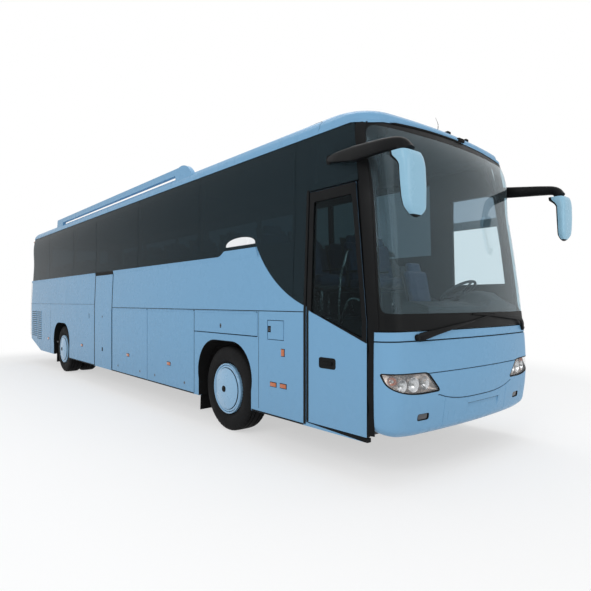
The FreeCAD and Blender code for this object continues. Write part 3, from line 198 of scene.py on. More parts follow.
metal = finish("bare_metal", (0.20, 0.20, 0.205), (0.13, 0.13, 0.135), grain=30, rough=(0.4, 0.6), bump=0.25,
               bump_scale=120, Metallic=0.8, worn=(0.16, 0.09, 0.05))
bright = finish("bright_metal", (0.62, 0.63, 0.64), (0.52, 0.53, 0.54), grain=60, rough=(0.18, 0.3), bump=0.08,
                bump_scale=400, depth=0.0004, Metallic=1.0)
mirror_face = finish("mirror_face", (0.82, 0.84, 0.85), (0.78, 0.80, 0.82), grain=5, rough=(0.02, 0.04), bump=0.01,
                     Metallic=1.0)
wheel_finish = finish("wheel_paint", (0.245, 0.445, 0.640), (0.22, 0.41, 0.60), grain=22, rough=(0.24, 0.34), bump=0.04,
                      bump_scale=300, depth=0.0005, worn=(0.24, 0.33, 0.42), Coat_Weight=0.4, Coat_Roughness=0.1)
under_coat = finish("underside", (0.022, 0.022, 0.023), (0.045, 0.042, 0.040), grain=12, rough=(0.7, 0.9), bump=0.5,
                    bump_scale=90, depth=0.002, worn=(0.075, 0.065, 0.055))
covering = finish("floor_cover", (0.085, 0.090, 0.100), (0.065, 0.068, 0.075), grain=10, rough=(0.5, 0.7), bump=0.4,
                  pattern=ribbed)
cab_plastic = finish("cab_plastic", (0.050, 0.055, 0.057), (0.066, 0.072, 0.074), grain=30, rough=(0.5, 0.65), bump=0.3,
                     bump_scale=800, depth=0.0007, worn=(0.085, 0.09, 0.09))
cloth = finish("seat_fabric", (0.045, 0.075, 0.150), (0.055, 0.090, 0.175), grain=18, rough=(0.85, 0.95), bump=0.5,
               depth=0.0012, pattern=woven, Sheen_Weight=0.3)
pale_trim = finish("pale_trim", (0.42, 0.43, 0.42), (0.37, 0.38, 0.37), grain=20, rough=(0.6, 0.75), bump=0.2,
                   bump_scale=500, worn=(0.30, 0.30, 0.29))

# the CAD pieces that don't wear the body's paint
NODE_FINISH = {label: one for one, labels in (
    (door_glass, "front_door_glass"), (clear_glass, "windscreen"), (trim, "window_frames mirrors wipers"),
    (metal, "engine front_axle rear_axle knuckle_right knuckle_left"), (covering, "floor entrance_steps"),
    (under_coat, "luggage_bay chassis_rails cross_members"), (cab_plastic, "dashboard steering_wheel"),
    (cloth, "seats"), (tyre_rubber, "tyre_front_right tyre_front_left tyres_rear_right tyres_rear_left"),
    (wheel_finish, "wheel_front_right wheel_front_left wheels_rear_right wheels_rear_left"),
) for label in labels.split()}


def new_object(name, data):
    """A new object in the scene."""
    made = bpy.data.objects.new(name, data)
    bpy.context.scene.collection.objects.link(made)
    return made


def smooth(mesh, made=None, angle=0):
    """Marks every face smooth; an object and an angle keep the edges sharper than that crisp."""
    mesh.polygons.foreach_set("use_smooth", np.ones(len(mesh.polygons), dtype=bool))
    if angle:
        made.modifiers.new("crisp", "EDGE_SPLIT").split_angle = angle


CAD_ANGLE, CAD_WELD = 0.45, 0.00005
for label, made in NODES.items():
    made.data.materials.clear()
    made.data.materials.append(NODE_FINISH.get(label, paint))
    made.modifiers.new("joined", "WELD").merge_threshold = CAD_WELD
    smooth(made.data, made, CAD_ANGLE)

# ---------------------------------------------------------------- shapes
MERGE = 0.00002


def values(items, name, width, kind=np.float32):
    """One property of all of a mesh's items as a (count, width) array."""
    row = np.zeros(len(items) * width, kind)
    items.foreach_get(name, row)
    return row.reshape(-1, width)


def stacked(x, y, z):
    """Points from three coordinates, each a number or an array."""
    return np.stack(np.broadcast_arrays(x, y, z), -1)


def floats(*numbers):
    """The numbers as arrays of one common shape."""
    return np.broadcast_arrays(*[np.asarray(one, float) for one in numbers])


class Moulding:
    """Grids of points gathered into one mesh, each grid with its own finish."""

    def __init__(self):
        self.points, self.faces, self.marks, self.count = [], [], [], 0

    def grid(self, points, around=False, along=False, mark=0, flip=False):
        """Quads between the neighbours of a (rows, columns, 3) grid; around and along close it on itself."""
        points = np.asarray(points, float)
        rows, columns = points.shape[:2]
        index = np.arange(rows * columns).reshape(rows, columns) + self.count
        if along:
            index = np.vstack([index, index[:1]])
        if around:
            index = np.hstack([index, index[:, :1]])
        quads = np.stack([index[:-1, :-1], index[:-1, 1:], index[1:, 1:], index[1:, :-1]], -1).reshape(-1, 4)
        self.points.append(points.reshape(-1, 3))
        self.faces.append(quads[:, ::-1] if flip else quads)
        self.marks.append(np.full(len(quads), mark) if np.isscalar(mark) else np.ravel(mark))
        self.count += rows * columns
        return self

    def tube(self, path, width, height=None, count=12, power=2.0, mark=0, up=(0, 0, 1)):
        """Adds a closed section carried along a path."""
        return self.grid(along_path(path, width, height, count, power, up=up), around=True, mark=mark)

    def lathe(self, profile, centre, steps, axis="Y", mark=0, along=False):
        """Adds a profile swept round an axle."""
        return self.grid(turned(profile, centre, steps, axis), around=True, along=along, mark=mark)

    def made(self, name, body, slot, *finishes, closed=True, soft_angle=0.7):
        """The mesh object: doubles merged, closed shells turned outwards, smooth within soft_angle."""
        mesh = bpy.data.meshes.new(name)
        mesh.from_pydata(np.vstack(self.points), [], np.vstack(self.faces))
        mesh.polygons.foreach_set("material_index", np.concatenate(self.marks).astype(np.int32))
        for one in finishes:
            mesh.materials.append(one)
        work = bmesh.new()
        work.from_mesh(mesh)
        bmesh.ops.remove_doubles(work, verts=work.verts, dist=MERGE)
        bmesh.ops.dissolve_degenerate(work, edges=work.edges, dist=MERGE)
        if closed:
            bmesh.ops.recalc_face_normals(work, faces=work.faces)
        work.to_mesh(mesh)
        work.free()
        made = new_object(name, mesh)
        smooth(mesh, made, soft_angle)
        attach(made, body)
        return made


def thickened(made, thickness, inside=None):
    """Gives an open surface its wall, with its own finish inside when one is named."""
    wall = made.modifiers.new("wall", "SOLIDIFY")
    wall.thickness = thickness
    wall.offset = -1.0
    wall.use_even_offset = True
    if inside is not None:
        made.data.materials.append(inside)
        wall.material_offset = len(made.data.materials) - 1
    made.modifiers.move(len(made.modifiers) - 1, 0)
    return made


def add_walled(shape, outer, inner, mark=0, inner_mark=0, edge_mark=0):
    """A closed wall between two grids of the same size: both grids and the four strips round their edges."""
    shape.grid(outer, mark=mark)
    shape.grid(inner, mark=inner_mark, flip=True)
    for first, second in ((inner[0], outer[0]), (outer[-1], inner[-1]), (outer[:, 0], inner[:, 0]),
                          (inner[:, -1], outer[:, -1])):
        shape.grid(np.stack([first, second]), mark=edge_mark)
    return shape


def block_points(centre, half, radius, steps=3):
    """A rounded block: each point is a corner's centre plus the radius times a direction of the sphere."""
    half = np.array(half, float)
    radius = min(radius, 0.999 * half.min())
    quarter = np.linspace(0, np.pi / 2, steps + 1)
    turn = np.concatenate([quarter + k * np.pi / 2 for k in range(4)])
    turn_side = np.repeat([[1, 1], [-1, 1], [-1, -1], [1, -1]], steps + 1, axis=0)
    rise = np.concatenate([-quarter[::-1], quarter])[:, None]
    rise_side = np.repeat([-1, 1], steps + 1)[:, None]
    direction = stacked(np.cos(rise) * np.cos(turn), np.cos(rise) * np.sin(turn), np.sin(rise))
    side = stacked(turn_side[:, 0], turn_side[:, 1], rise_side)
    middle = np.zeros((1, len(turn), 3)) + np.array(centre, float)
    rings = middle + side * (half - radius) + radius * direction
    return np.concatenate([middle - (0, 0, half[2]), rings, middle + (0, 0, half[2])])


def add_block(shape, centre, half, radius, mark=0, steps=3, turn=None):
    """A rounded block laid into a moulding, turned about its middle when asked."""
    points = block_points(centre, half, radius, steps)
    if turn is not None:
        pivot = np.array(centre, float)
        points = (points - pivot) @ turn.T + pivot
    shape.grid(points, around=True, mark=mark)


def turning(axis, angle):
    """The 3 by 3 turn about Y or Z by an angle."""
    c, s = np.cos(angle), np.sin(angle)
    return np.array({"Y": [[c, 0, s], [0, 1, 0], [-s, 0, c]], "Z": [[c, -s, 0], [s, c, 0], [0, 0, 1]]}[axis])


def squared(wave_value, power):
    """A sine or cosine raised to a power with its sign kept: below 1 it squares a round section off."""
    return np.sign(wave_value) * np.abs(wave_value) ** power


def along_path(path, width, height=None, count=12, power=2.0, ends=True, up=(0, 0, 1)):
    """A rounded section carried along a path, square to it; width and height may change along it.

    The section is a superellipse: cosine and sine raised to 2/power, so power 2 is round and 6 nearly square.
    """
    path = np.asarray(path, float)
    width = np.broadcast_to(np.asarray(width, float), (len(path),))
    height = width if height is None else np.broadcast_to(np.asarray(height, float), (len(path),))
    ahead = np.gradient(path, axis=0)
    ahead /= np.linalg.norm(ahead, axis=1, keepdims=True)
    side = np.cross(ahead, np.array(up, float))
    side /= np.maximum(np.linalg.norm(side, axis=1, keepdims=True), 1e-9)
    top = np.cross(side, ahead)
    angle = np.linspace(0, 2 * np.pi, count, endpoint=False)
    across, upward = squared(np.cos(angle), 2 / power), squared(np.sin(angle), 2 / power)
    rings = path[:, None] + 0.5 * (across[None, :, None] * side[:, None] * width[:, None, None]
                                   + upward[None, :, None] * top[:, None] * height[:, None, None])
    if ends:
        rings = np.concatenate([np.repeat(path[:1, None], count, 1), rings, np.repeat(path[-1:, None], count, 1)])
    return rings


def smooth_path(points, count=40):
    """A Catmull-Rom curve through the points, evenly shared between them."""
    points = np.asarray(points, float)
    padded = np.vstack([2 * points[0] - points[1], points, 2 * points[-1] - points[-2]])
    t = np.linspace(0, len(points) - 1 - 1e-9, count)
    k = t.astype(int)
    f = (t - k)[:, None]
    a, b, c, d = padded[k], padded[k + 1], padded[k + 2], padded[k + 3]
    return 0.5 * (2 * b + (c - a) * f + (2 * a - 5 * b + 4 * c - d) * f ** 2 + (3 * b - a - 3 * c + d) * f ** 3)


def turned(profile, centre=(0, 0, 0), steps=64, axis="Y"):
    """A (radius, reach) profile swept round an axle at the centre."""
    profile = np.asarray(profile, float)
    angle = np.linspace(0, 2 * np.pi, steps, endpoint=False)
    radius, reach = profile[:, :1], profile[:, 1:]
    across, upward = radius * np.cos(angle), radius * np.sin(angle)
    order = {"Y": (across, reach, upward), "X": (reach, across, upward), "Z": (across, upward, reach)}[axis]
    return stacked(*order) + np.array(centre, float)


def rounded_outline(corners, radius, steps=6):
    """A closed outline through the corners, each replaced by an even curve that starts radius away from it."""
    corners = np.asarray(corners, float)
    radius = np.broadcast_to(np.asarray(radius, float), (len(corners),))
    t = np.linspace(0, 1, steps + 1)[:, None]
    parts = []
    for k, corner in enumerate(corners):
        start, end = [corner + way / np.linalg.norm(way) * min(radius[k], 0.48 * np.linalg.norm(way))
                      for way in (corners[k - 1] - corner, corners[(k + 1) % len(corners)] - corner)]
        parts.append((1 - t) ** 2 * start + 2 * t * (1 - t) * corner + t ** 2 * end)
    return np.vstack(parts)


def box_outline(low_u, high_u, low_v, high_v, radius, steps=6):
    """A rounded rectangle's outline."""
    return rounded_outline([(low_u, low_v), (high_u, low_v), (high_u, high_v), (low_u, high_v)], radius, steps)


def resampled(outline, count):
    """The same closed outline with evenly spaced points."""
    closed = np.vstack([outline, outline[:1]])
    run = np.concatenate([[0], np.cumsum(np.linalg.norm(np.diff(closed, axis=0), axis=1))])
    at = np.linspace(0, run[-1], count, endpoint=False)
    return np.stack([np.interp(at, run, closed[:, k]) for k in range(closed.shape[1])], -1)


def between(first, second, shares):
    """Lines that pass from the first to the second as the share goes from 0 to 1."""
    shares = np.asarray(shares, float)[:, None, None]
    return (1 - shares) * first + shares * second


def laid(surface, rings, outs, *sign):
    """Rings of two coordinates laid on a surface, each ring at its own distance out."""
    return surface(rings[..., 0], rings[..., 1], *sign, np.array(outs)[:, None])


def shrunk(outline, shares, middle=None):
    """Rings drawn in towards an outline's middle: a share of 1 is the outline itself, 0 its middle."""
    middle = outline.mean(0) if middle is None else np.array(middle)
    return middle + np.asarray(shares, float)[:, None, None] * (outline - middle)


# ---------------------------------------------------------------- the body's surface
# height, side in, nose back, tail back, nose arc, front corner
LEVELS = np.array([
    (0.295, 0, 0.045, 0, 8.0, 0.230), (0.685, 0, -0.018, 0, 8.0, 0.230), (1.315, 0, 0, 0, 8.0, 0.230),
    (1.465, 0, 0.0162, 0, 8.0, 0.235), (2.5023, 0.0411, 0.1357, 0.010, 6.88, 0.260),
    (3.230, 0.070, 0.272, 0.030, 6.0, 0.240), (3.310, 0.0914, 0.330, 0.052, 6.5, 0.270),
    (3.3686, 0.150, 0.500, 0.1004, 6.5, 0.450), (3.3876, 0.2022, 0.680, 0.162, 5.0, 0.5522),
    (3.426, 0.470, 0.995, 0.510, 5.0, 0.378), (3.475, 0.870, 1.595, 0.980, 5.0, 0.378)])
HALF, NOSE, TAIL = 1.275, 6.115, -6.500
TAIL_ARC, TAIL_CORNER = 9.0, 0.230
# places round the plan: 0 the tail's middle, 5 the nose's middle; the left side counts back from LAP
LAP, NOSE_AT = 10, 5
# how far inside the surface its second layer lies, which gives the way outwards
PROBE = 0.05


def plan(level, at, inset=0.0):
    """One level's plan outline as a function of at, from the tail's middle at 0 round the right side to the
    nose's middle at 5 and on round the left side to 10: tail arc, corner, straight side, corner, nose arc."""
    height, side_in, nose_back, tail_back, nose_arc, corner = LEVELS[level]
    left = at > NOSE_AT
    at = np.where(left, LAP - at, at)
    half = HALF - side_in - inset
    nose_x, tail_x = NOSE - nose_back - inset, TAIL + tail_back + inset
    nose_r, tail_r = nose_arc - inset, TAIL_ARC - inset
    front_r = min(corner, 0.93 * (half + inset)) - inset
    rear_r = min(TAIL_CORNER + 0.5 * side_in, 0.9 * (half + inset)) - inset
    front_x = nose_x - nose_r + np.sqrt((nose_r - front_r) ** 2 - (half - front_r) ** 2)
    rear_x = tail_x + tail_r - np.sqrt((tail_r - rear_r) ** 2 - (half - rear_r) ** 2)
    nose_turn = np.arcsin((half - front_r) / (nose_r - front_r))
    tail_turn = np.arcsin((half - rear_r) / (tail_r - rear_r))
    zone = np.floor(np.minimum(at, 4.999999))
    t = at - zone
    a0 = tail_turn * t
    a1 = tail_turn + (np.pi / 2 - tail_turn) * t
    a3 = (np.pi / 2) + (nose_turn - np.pi / 2) * t
    a4 = nose_turn * (1 - t)
    x = np.choose(zone.astype(int), [
        tail_x + tail_r - tail_r * np.cos(a0), rear_x - rear_r * np.cos(a1), rear_x + (front_x - rear_x) * t,
        front_x + front_r * np.cos(a3), nose_x - nose_r + nose_r * np.cos(a4)])
    y = np.choose(zone.astype(int), [
        tail_r * np.sin(a0), half - rear_r + rear_r * np.sin(a1), half + 0 * t,
        half - front_r + front_r * np.sin(a3), nose_r * np.sin(a4)])
    return stacked(x, np.where(left, y, -y), height)


def shell(height, at, inset=0.0):
    """The body's surface at a height and a place round the plan: a smooth cubic between the levels' outlines,
    whose slopes are the levels' own differences, so that no ridge shows where two levels meet."""
    height, at = floats(height, at)
    rings = np.stack([plan(k, at, inset) for k in range(len(LEVELS))])
    z = LEVELS[:, 0]
    gap = np.diff(z)[(slice(None),) + (None,) * (rings.ndim - 1)]
    rise = np.diff(rings, axis=0) / gap
    slope = np.concatenate([rise[:1], (rise[:-1] * gap[1:] + rise[1:] * gap[:-1]) / (gap[1:] + gap[:-1]), rise[-1:]])
    k = np.clip(np.searchsorted(z, height, side="right") - 1, 0, len(z) - 2)
    step = (z[k + 1] - z[k])[..., None]
    f = (height - z[k])[..., None] / step
    (low, high), (low_slope, high_slope) = [[np.take_along_axis(table, (k + more)[None, ..., None], 0)[0]
                                             for more in (0, 1)] for table in (rings, slope)]
    return (low * (2 * f ** 3 - 3 * f ** 2 + 1) + low_slope * step * (f ** 3 - 2 * f ** 2 + f)
            + high * (3 * f ** 2 - 2 * f ** 3) + high_slope * step * (f ** 3 - f ** 2))


def off_shell(height, at, *outs):
    """The body's surface moved outwards by each of outs, along the line from the layer below it."""
    skin = shell(height, at)
    outward = (skin - shell(height, at, PROBE)) / PROBE
    return [skin + outward * np.asarray(out, float)[..., None] for out in outs]


FRONT_AT = np.linspace(3.0, 7.0, 801)
SIDE_PLACES = np.linspace(0.9, 5.0, 420)
SIDE_LEVELS = np.linspace(0.50, 3.35, 58)
SIDE_TABLE = shell(SIDE_LEVELS[:, None], SIDE_PLACES[None])[..., 0]


def side_at(x, height, sign=-1):
    """Where round the plan a side stands at a distance x along the coach: read off a table of levels, straight
    between two of them; sign -1 is the right side."""
    x, height = floats(x, height)
    table = np.stack([np.interp(x.ravel(), row, SIDE_PLACES) for row in SIDE_TABLE])
    k = np.clip(np.searchsorted(SIDE_LEVELS, height.ravel()) - 1, 0, len(SIDE_LEVELS) - 2)
    f = (height.ravel() - SIDE_LEVELS[k]) / (SIDE_LEVELS[k + 1] - SIDE_LEVELS[k])
    column = np.arange(x.size)
    at = ((1 - f) * table[k, column] + f * table[k + 1, column]).reshape(x.shape)
    return at if sign < 0 else LAP - at


def through(first, middle, last, count):
    """Points of the arc from first to last that passes through middle: angles shared evenly round its centre."""
    corners = np.array([first, middle, last], float)
    spread = corners[1:] - corners[0]
    centre = np.linalg.solve(2 * spread, (spread ** 2).sum(1)) + corners[0]
    angle = np.unwrap(np.arctan2(corners[:, 1] - centre[1], corners[:, 0] - centre[0]))
    turn = np.linspace(angle[0], angle[2], count)
    return centre + np.linalg.norm(corners[0] - centre) * np.stack([np.cos(turn), np.sin(turn)], -1)


def side_half(height):
    """Half the body's width at a height."""
    return HALF - np.interp(height, LEVELS[:, 0], LEVELS[:, 1])


def on_side(x, height, sign=-1, out=0.0):
    """A point on the flat of a side wall, out metres proud of it; sign -1 is the right side."""
    return stacked(x, sign * (side_half(height) + out), height)

# distance round the nose from its middle, at one metre's height
NOSE_RUN = np.concatenate([[0], np.cumsum(np.linalg.norm(np.diff(shell(1.0, FRONT_AT), axis=0), axis=1))])
NOSE_RUN -= NOSE_RUN[-1] / 2


def nose_at(run):
    """Where round the plan the nose stands at a distance measured round it from the middle."""
    return np.interp(run, NOSE_RUN, FRONT_AT)


def on_nose(run, height, inset=0.0):
    """A point on the nose surface, or on the layer an inset below it."""
    run, height = floats(run, height)
    return shell(height, nose_at(run), inset)


def in_nose(rings, *insets):
    """Rings of (run, height) laid on the nose, sunk by each of insets square to its surface."""
    return off_shell(rings[..., 1], nose_at(rings[..., 0]), *[-np.asarray(inset, float) for inset in insets])


def groove(distance, half=0.0055, depth=0.008):
    """A panel joint: half an ellipse of that half width and depth, and nothing outside it."""
    return depth * np.sqrt(np.clip(1 - (distance / half) ** 2, 0, 1))


NOSE_HALF, PANEL_SEAM, BUMPER_BEND = 1.383, 0.560, 0.462
GRILLE_WIDE, CREASE_LINE, SCUTTLE_TOP, GRILLE_TOP = 0.640, 1.232, 1.313, 0.942
PLATE_ENDS, PLATE_FOOT, PLATE_HEAD = (-0.195, 0.400), 0.486, 0.604
TOW, TOW_HALF = (-0.445, 0.520), 0.048
PANEL_WALL, FOOT_ROLL = 0.016, 0.055
# distances across a joint line at which the panels have points
JOINT = np.array([-0.009, -0.0056, -0.0050, -0.0028, 0, 0.0028, 0.0050, 0.0056, 0.009])


def grille_low(run):
    """The grille's lower edge: flat in the middle, turning up towards the lamps."""
    return 0.668 + 0.070 * (np.clip(np.abs(run), 0, GRILLE_WIDE) / GRILLE_WIDE) ** 3.2


def front_foot(run):
    """The bumper's foot: level, and rising round the corners."""
    return 0.386 + 0.075 * np.clip((np.abs(run) - 0.85) / 0.53, 0, 1) ** 2


def rows_between(low, high, shares):
    """Lines between two joint lines, kept a centimetre clear of both."""
    return [low + 0.01 + share * (high - low - 0.02) for share in shares]


def front_panels():
    """Nose panels: rows of heights gathered about each joint line, columns of distance round the nose.
    Inset = joint grooves + a step at the grille + the plate's shallow place + the foot's roll + the tow cover's
    joint."""
    run = np.unique(np.concatenate([
        np.linspace(-NOSE_HALF, NOSE_HALF, 171), PANEL_SEAM + JOINT, -PANEL_SEAM + JOINT, PLATE_ENDS[0] + JOINT,
        PLATE_ENDS[1] + JOINT, TOW[0] - TOW_HALF + JOINT / 2, TOW[0] + TOW_HALF + JOINT / 2]))
    low, foot = grille_low(run), front_foot(run)
    rows = [foot + share * (BUMPER_BEND - foot) for share in (0, .05, .12, .2, .3, .42, .56, .7, .85, 1.0)]
    rows += [*np.unique(np.concatenate([PLATE_FOOT + JOINT, np.linspace(PLATE_FOOT + 0.02, PLATE_HEAD - 0.02, 5),
                                        PLATE_HEAD + JOINT]))]
    rows += rows_between(PLATE_HEAD, low, (0.15, 0.4, 0.7, 0.95)) + [low + offset for offset in JOINT]
    rows += rows_between(low, GRILLE_TOP, np.linspace(0.08, 0.92, 9)) + [*(GRILLE_TOP + JOINT)]
    rows += rows_between(GRILLE_TOP, CREASE_LINE, np.linspace(0.06, 0.94, 9)) + [*(CREASE_LINE + JOINT)]
    rows += [CREASE_LINE + 0.01 + share * (SCUTTLE_TOP - CREASE_LINE - 0.01) for share in (0.2, 0.5, 0.8, 1.0)]
    height = np.array([row + 0 * run for row in rows])
    run = np.broadcast_to(run, height.shape)
    fade = np.clip((GRILLE_WIDE + 0.02 - np.abs(run)) / 0.01, 0, 1)
    wide = np.clip((GRILLE_WIDE + 0.17 - np.abs(run)) / 0.01, 0, 1)
    step = 0.0015 * fade * np.clip((height - low) / 0.004, 0, 1) * np.clip((GRILLE_TOP - height) / 0.004, 0, 1)
    joints = fade * groove(height - low) + wide * groove(height - GRILLE_TOP)
    joints += groove(height - CREASE_LINE, 0.006, 0.009)
    joints += groove(np.abs(run) - PANEL_SEAM, 0.003, 0.004) * (height < low - 0.004)
    plate = np.minimum(np.minimum(run - PLATE_ENDS[0], PLATE_ENDS[1] - run),
                       np.minimum(height - PLATE_FOOT, PLATE_HEAD - height))
    plate = 0.015 * np.clip(plate / 0.004, 0, 1) * np.clip((height - PLATE_FOOT) / (PLATE_HEAD - PLATE_FOOT), 0.1, 1)
    tow = np.maximum(np.abs(run - TOW[0]), np.abs(height - TOW[1])) - TOW_HALF
    joints += groove(tow, 0.0028, 0.0012) * (plate == 0)
    roll = FOOT_ROLL * np.clip(1 - (height - foot) / 0.085, 0, 1) ** 2.6
    outer, inner = in_nose(np.stack([run, height], -1), joints + step + plate + roll, PANEL_WALL + roll)
    # The deeper joint grooves take the dark rubber finish. The line along the plate recess's top edge is painted
    # shadow, standing for the shade under the recess's top wall.
    joint = joints > 0.0040
    joint |= (np.abs(height - PLATE_HEAD) < 0.0032) & (run > PLATE_ENDS[0]) & (run < PLATE_ENDS[1])
    dark = 2 * (joint[:-1, :-1] & joint[1:, :-1] | joint[:-1, 1:] & joint[1:, 1:])
    return add_walled(Moulding(), outer, inner, dark, 1, 1).made(
        "front_panels", "coach_body", "body_paint", paint, trim, rubber, soft_angle=0)


def lamp_outline(sign, grow=0.0):
    """A headlamp's outline round the nose: five corners, the outer ones wide curves; grow pushes it outwards."""
    corners = [(0.800, 0.956), (0.625, 0.772), (0.990, 0.762), (1.250, 0.832), (1.322, 0.966)]
    line = resampled(rounded_outline(corners, (0.05, 0.05, 0.26, 0.14, 0.03), 8), 96)
    ahead = np.roll(line, -1, 0) - np.roll(line, 1, 0)
    outward = np.stack([ahead[:, 1], -ahead[:, 0]], -1) / np.linalg.norm(ahead, axis=1, keepdims=True)
    return (line + grow * outward) * (sign, 1.0)


def nose_disc(outline, shares, inset):
    """Rings from an outline in to its middle, laid on the nose at an inset that may change ring by ring."""
    return in_nose(shrunk(outline, shares), np.reshape(inset, (-1, 1)))[0]


def cut_out(made, cutter):
    """Takes the cutter's solid out of a piece for good, and removes the cutter."""
    opening = made.modifiers.new("opening", "BOOLEAN")
    opening.object = cutter
    opening.solver = "EXACT"
    bpy.context.view_layer.update()
    cut = made.evaluated_get(bpy.context.evaluated_depsgraph_get())
    old, made.data = made.data, bpy.data.meshes.new_from_object(cut)
    made.modifiers.clear()
    smooth(made.data, made, 0.6)
    bpy.data.meshes.remove(old)
    bpy.data.objects.remove(cutter)


def loose_cutter(name, *grids):
    """A closed mesh that only serves to cut."""
    shape = Moulding()
    for points in grids:
        shape.grid(points, around=True)
    made = shape.made(name, "coach_body", "body_paint", paint, soft_angle=0)
    made.parent = None
    return made


fog_glass = finish("fog_glass", (0.060, 0.062, 0.066), (0.085, 0.087, 0.092), grain=60, rough=(0.15, 0.25), bump=0.3,
                   depth=0.001, pattern=faceted, Specular_IOR_Level=0.4)
panels = front_panels()
FOG = resampled(box_outline(0.765, 0.915, 0.529, 0.591, 0.022), 40)
CUT_SHARES, CUT_DEPTHS = (0, 1, 1, 0), (-0.06, -0.06, 0.09, 0.09)
cuts = [nose_disc(outline, CUT_SHARES, CUT_DEPTHS)
        for outline in [lamp_outline(sign) for sign in SIGNS] + [FOG * (sign, 1) for sign in SIGNS]]
cut_out(panels, loose_cutter("front_cutter", *cuts))
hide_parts("front_mask", "front_bumper")

# along the nose, height, radius and finish of the three reflectors and the turn lamp
CUPS = ((0.800, 0.850, 0.052, 1), (0.945, 0.850, 0.062, 1), (1.085, 0.850, 0.052, 1), (1.200, 0.895, 0.034, 3))


def headlamps(sign, side):
    """One headlamp: a rubber surround, a folded bright bowl, round reflectors with bulbs and a clear cover.
    The bowl's depth is a cubic over its rings, with a low ripple round it."""
    surround = Moulding()
    outer, inner = lamp_outline(sign, 0.001), lamp_outline(sign, -0.009)
    depth = np.array([0.020, -0.0005, -0.0005, 0.035])[:, None]
    surround.grid(in_nose(np.stack([outer, outer, inner, inner]), depth)[0], around=True)
    surround.made("lamp_surround_" + side, "coach_body", "black_trim", rubber, soft_angle=0.5)

    share = np.linspace(0, 1, 26)
    turn = np.linspace(0, 2 * np.pi, 96, endpoint=False)
    depth = 0.030 + 0.060 * (1 - share[:, None] ** 3) + 0.004 * np.sin(turn * 9) * np.sin(share * np.pi)[:, None]
    bowl = Moulding()
    bowl.grid(in_nose(shrunk(lamp_outline(sign, -0.004), share, outer.mean(0)), depth)[0], around=True)
    for run, height, radius, tint in CUPS:
        lean = on_nose(sign * run, 0.835) - on_nose(sign * run, 0.835, PROBE)
        facing = turning("Z", np.arctan2(lean[1], lean[0])).T
        centre = on_nose(sign * run, height, 0.050)
        r = np.linspace(0, 1, 10)
        profile = np.vstack([np.stack([radius * r, 0.030 * r ** 2 - 0.022], -1),
                             [(radius * 1.06, 0.010), (radius * 1.08, -0.02)]])
        bowl.grid(turned(profile, steps=40, axis="X") @ facing + centre, around=True, mark=tint)
        bulb = [(0, 0.022), (0.008, 0.020), (0.012, 0.010), (0.011, -0.006), (0.014, -0.02)]
        bowl.grid(turned(bulb, steps=20, axis="X") @ facing + centre, around=True, mark=2)
    bowl.made("lamp_bowl_" + side, "coach_body", "lamp_lens", reflector, bright, pale_trim, amber_lens, closed=False)

    clear_cover = Moulding()
    line = lamp_outline(sign, -0.0085)
    share = np.concatenate([np.linspace(0, 0.9, 16), [0.94, 0.97, 0.985, 1.0]])
    bulge = 0.0015 + 0.006 * share ** 14
    clear_cover.grid(nose_disc(line, share, bulge), around=True)
    clear_cover.grid(nose_disc(line, share, bulge + 0.004), around=True, flip=True)
    covered = clear_cover.made("lamp_cover_" + side, "coach_body", "lamp_lens", lens, soft_angle=0.8)
    if sign < 0:
        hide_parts("lamps")

    fog = Moulding()
    line = FOG * (sign, 1)
    fog.grid(nose_disc(line, (1.02, 1.0, 0.90, 0.88, 0.5, 0), (0.012, 0.002, 0.002, 0.016, 0.028, 0.032)), around=True)
    fog.grid(nose_disc(line, (0, 0.45, 0.80, 0.84), (0.006, 0.007, 0.010, 0.020)), around=True, mark=1)
    fog.made("fog_lamp_" + side, "coach_body", "black_trim", trim, fog_glass, closed=False)


for sign, side in SIDES:
    headlamps(sign, side)

# ---------------------------------------------------------------- windscreen and its black border
SEAM_FOOT, SEAM_TOP = (5.817, 1.405), (5.602, 3.230)
# the flat's share of each half of the screen, and the place round the plan where the corner begins
FLAT_SHARE, CORNER_AT = 0.6, 4.0


def corner_start(height, shift=0.0):
    """Where round the plan the windscreen's rear edge stands, at each height; shift moves it forwards."""
    height = np.asarray(height, float)
    lean = (SEAM_TOP[0] - SEAM_FOOT[0]) / (SEAM_TOP[1] - SEAM_FOOT[1])
    edge = SEAM_FOOT[0] + lean * np.clip(height - SEAM_FOOT[1], 0, None) + shift
    places = np.linspace(2.8, 5.0, 500)
    starts = [np.interp(x, shell(z, places)[:, 0], places) for x, z in zip(np.ravel(edge), np.ravel(height))]
    return np.reshape(starts, height.shape)


def screen_points(height, share, inset):
    """The windscreen's surface: share runs from -1 at the right seam to 1 at the left one."""
    height, share = floats(height, share)
    levels = np.linspace(1.30, 3.24, 60)
    start = np.interp(height, levels, corner_start(levels))
    size = np.abs(share)
    half_at = np.where(size > FLAT_SHARE, CORNER_AT - (CORNER_AT - start) * (size - FLAT_SHARE) / (1 - FLAT_SHARE),
                       NOSE_AT - size / FLAT_SHARE)
    return shell(height, np.where(share < 0, half_at, LAP - half_at), inset)


screen = Moulding().grid(screen_points(np.linspace(1.321, 3.226, 60)[:, None], np.linspace(-1, 1, 121)[None], 0.006))
front_screen = thickened(screen.made("front_screen", "coach_body", "clear_glass", clear_glass, closed=False), 0.007)
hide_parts("windscreen")

outer, inner = [resampled(box_outline(*box, 10), 320) for box in ((-0.999, 0.999, 1.322, 3.225, 0.02),
                                                                  (-0.85, 0.85, 1.470, 3.150, 0.10))]
ring = between(outer, inner, np.linspace(0, 1, 7))
frit = Moulding().grid(screen_points(ring[..., 1], ring[..., 0], 0.0055), around=True)
frit.made("screen_border", "coach_body", "black_trim", trim, closed=False)

# ---------------------------------------------------------------- linings on the CAD pieces' inner faces


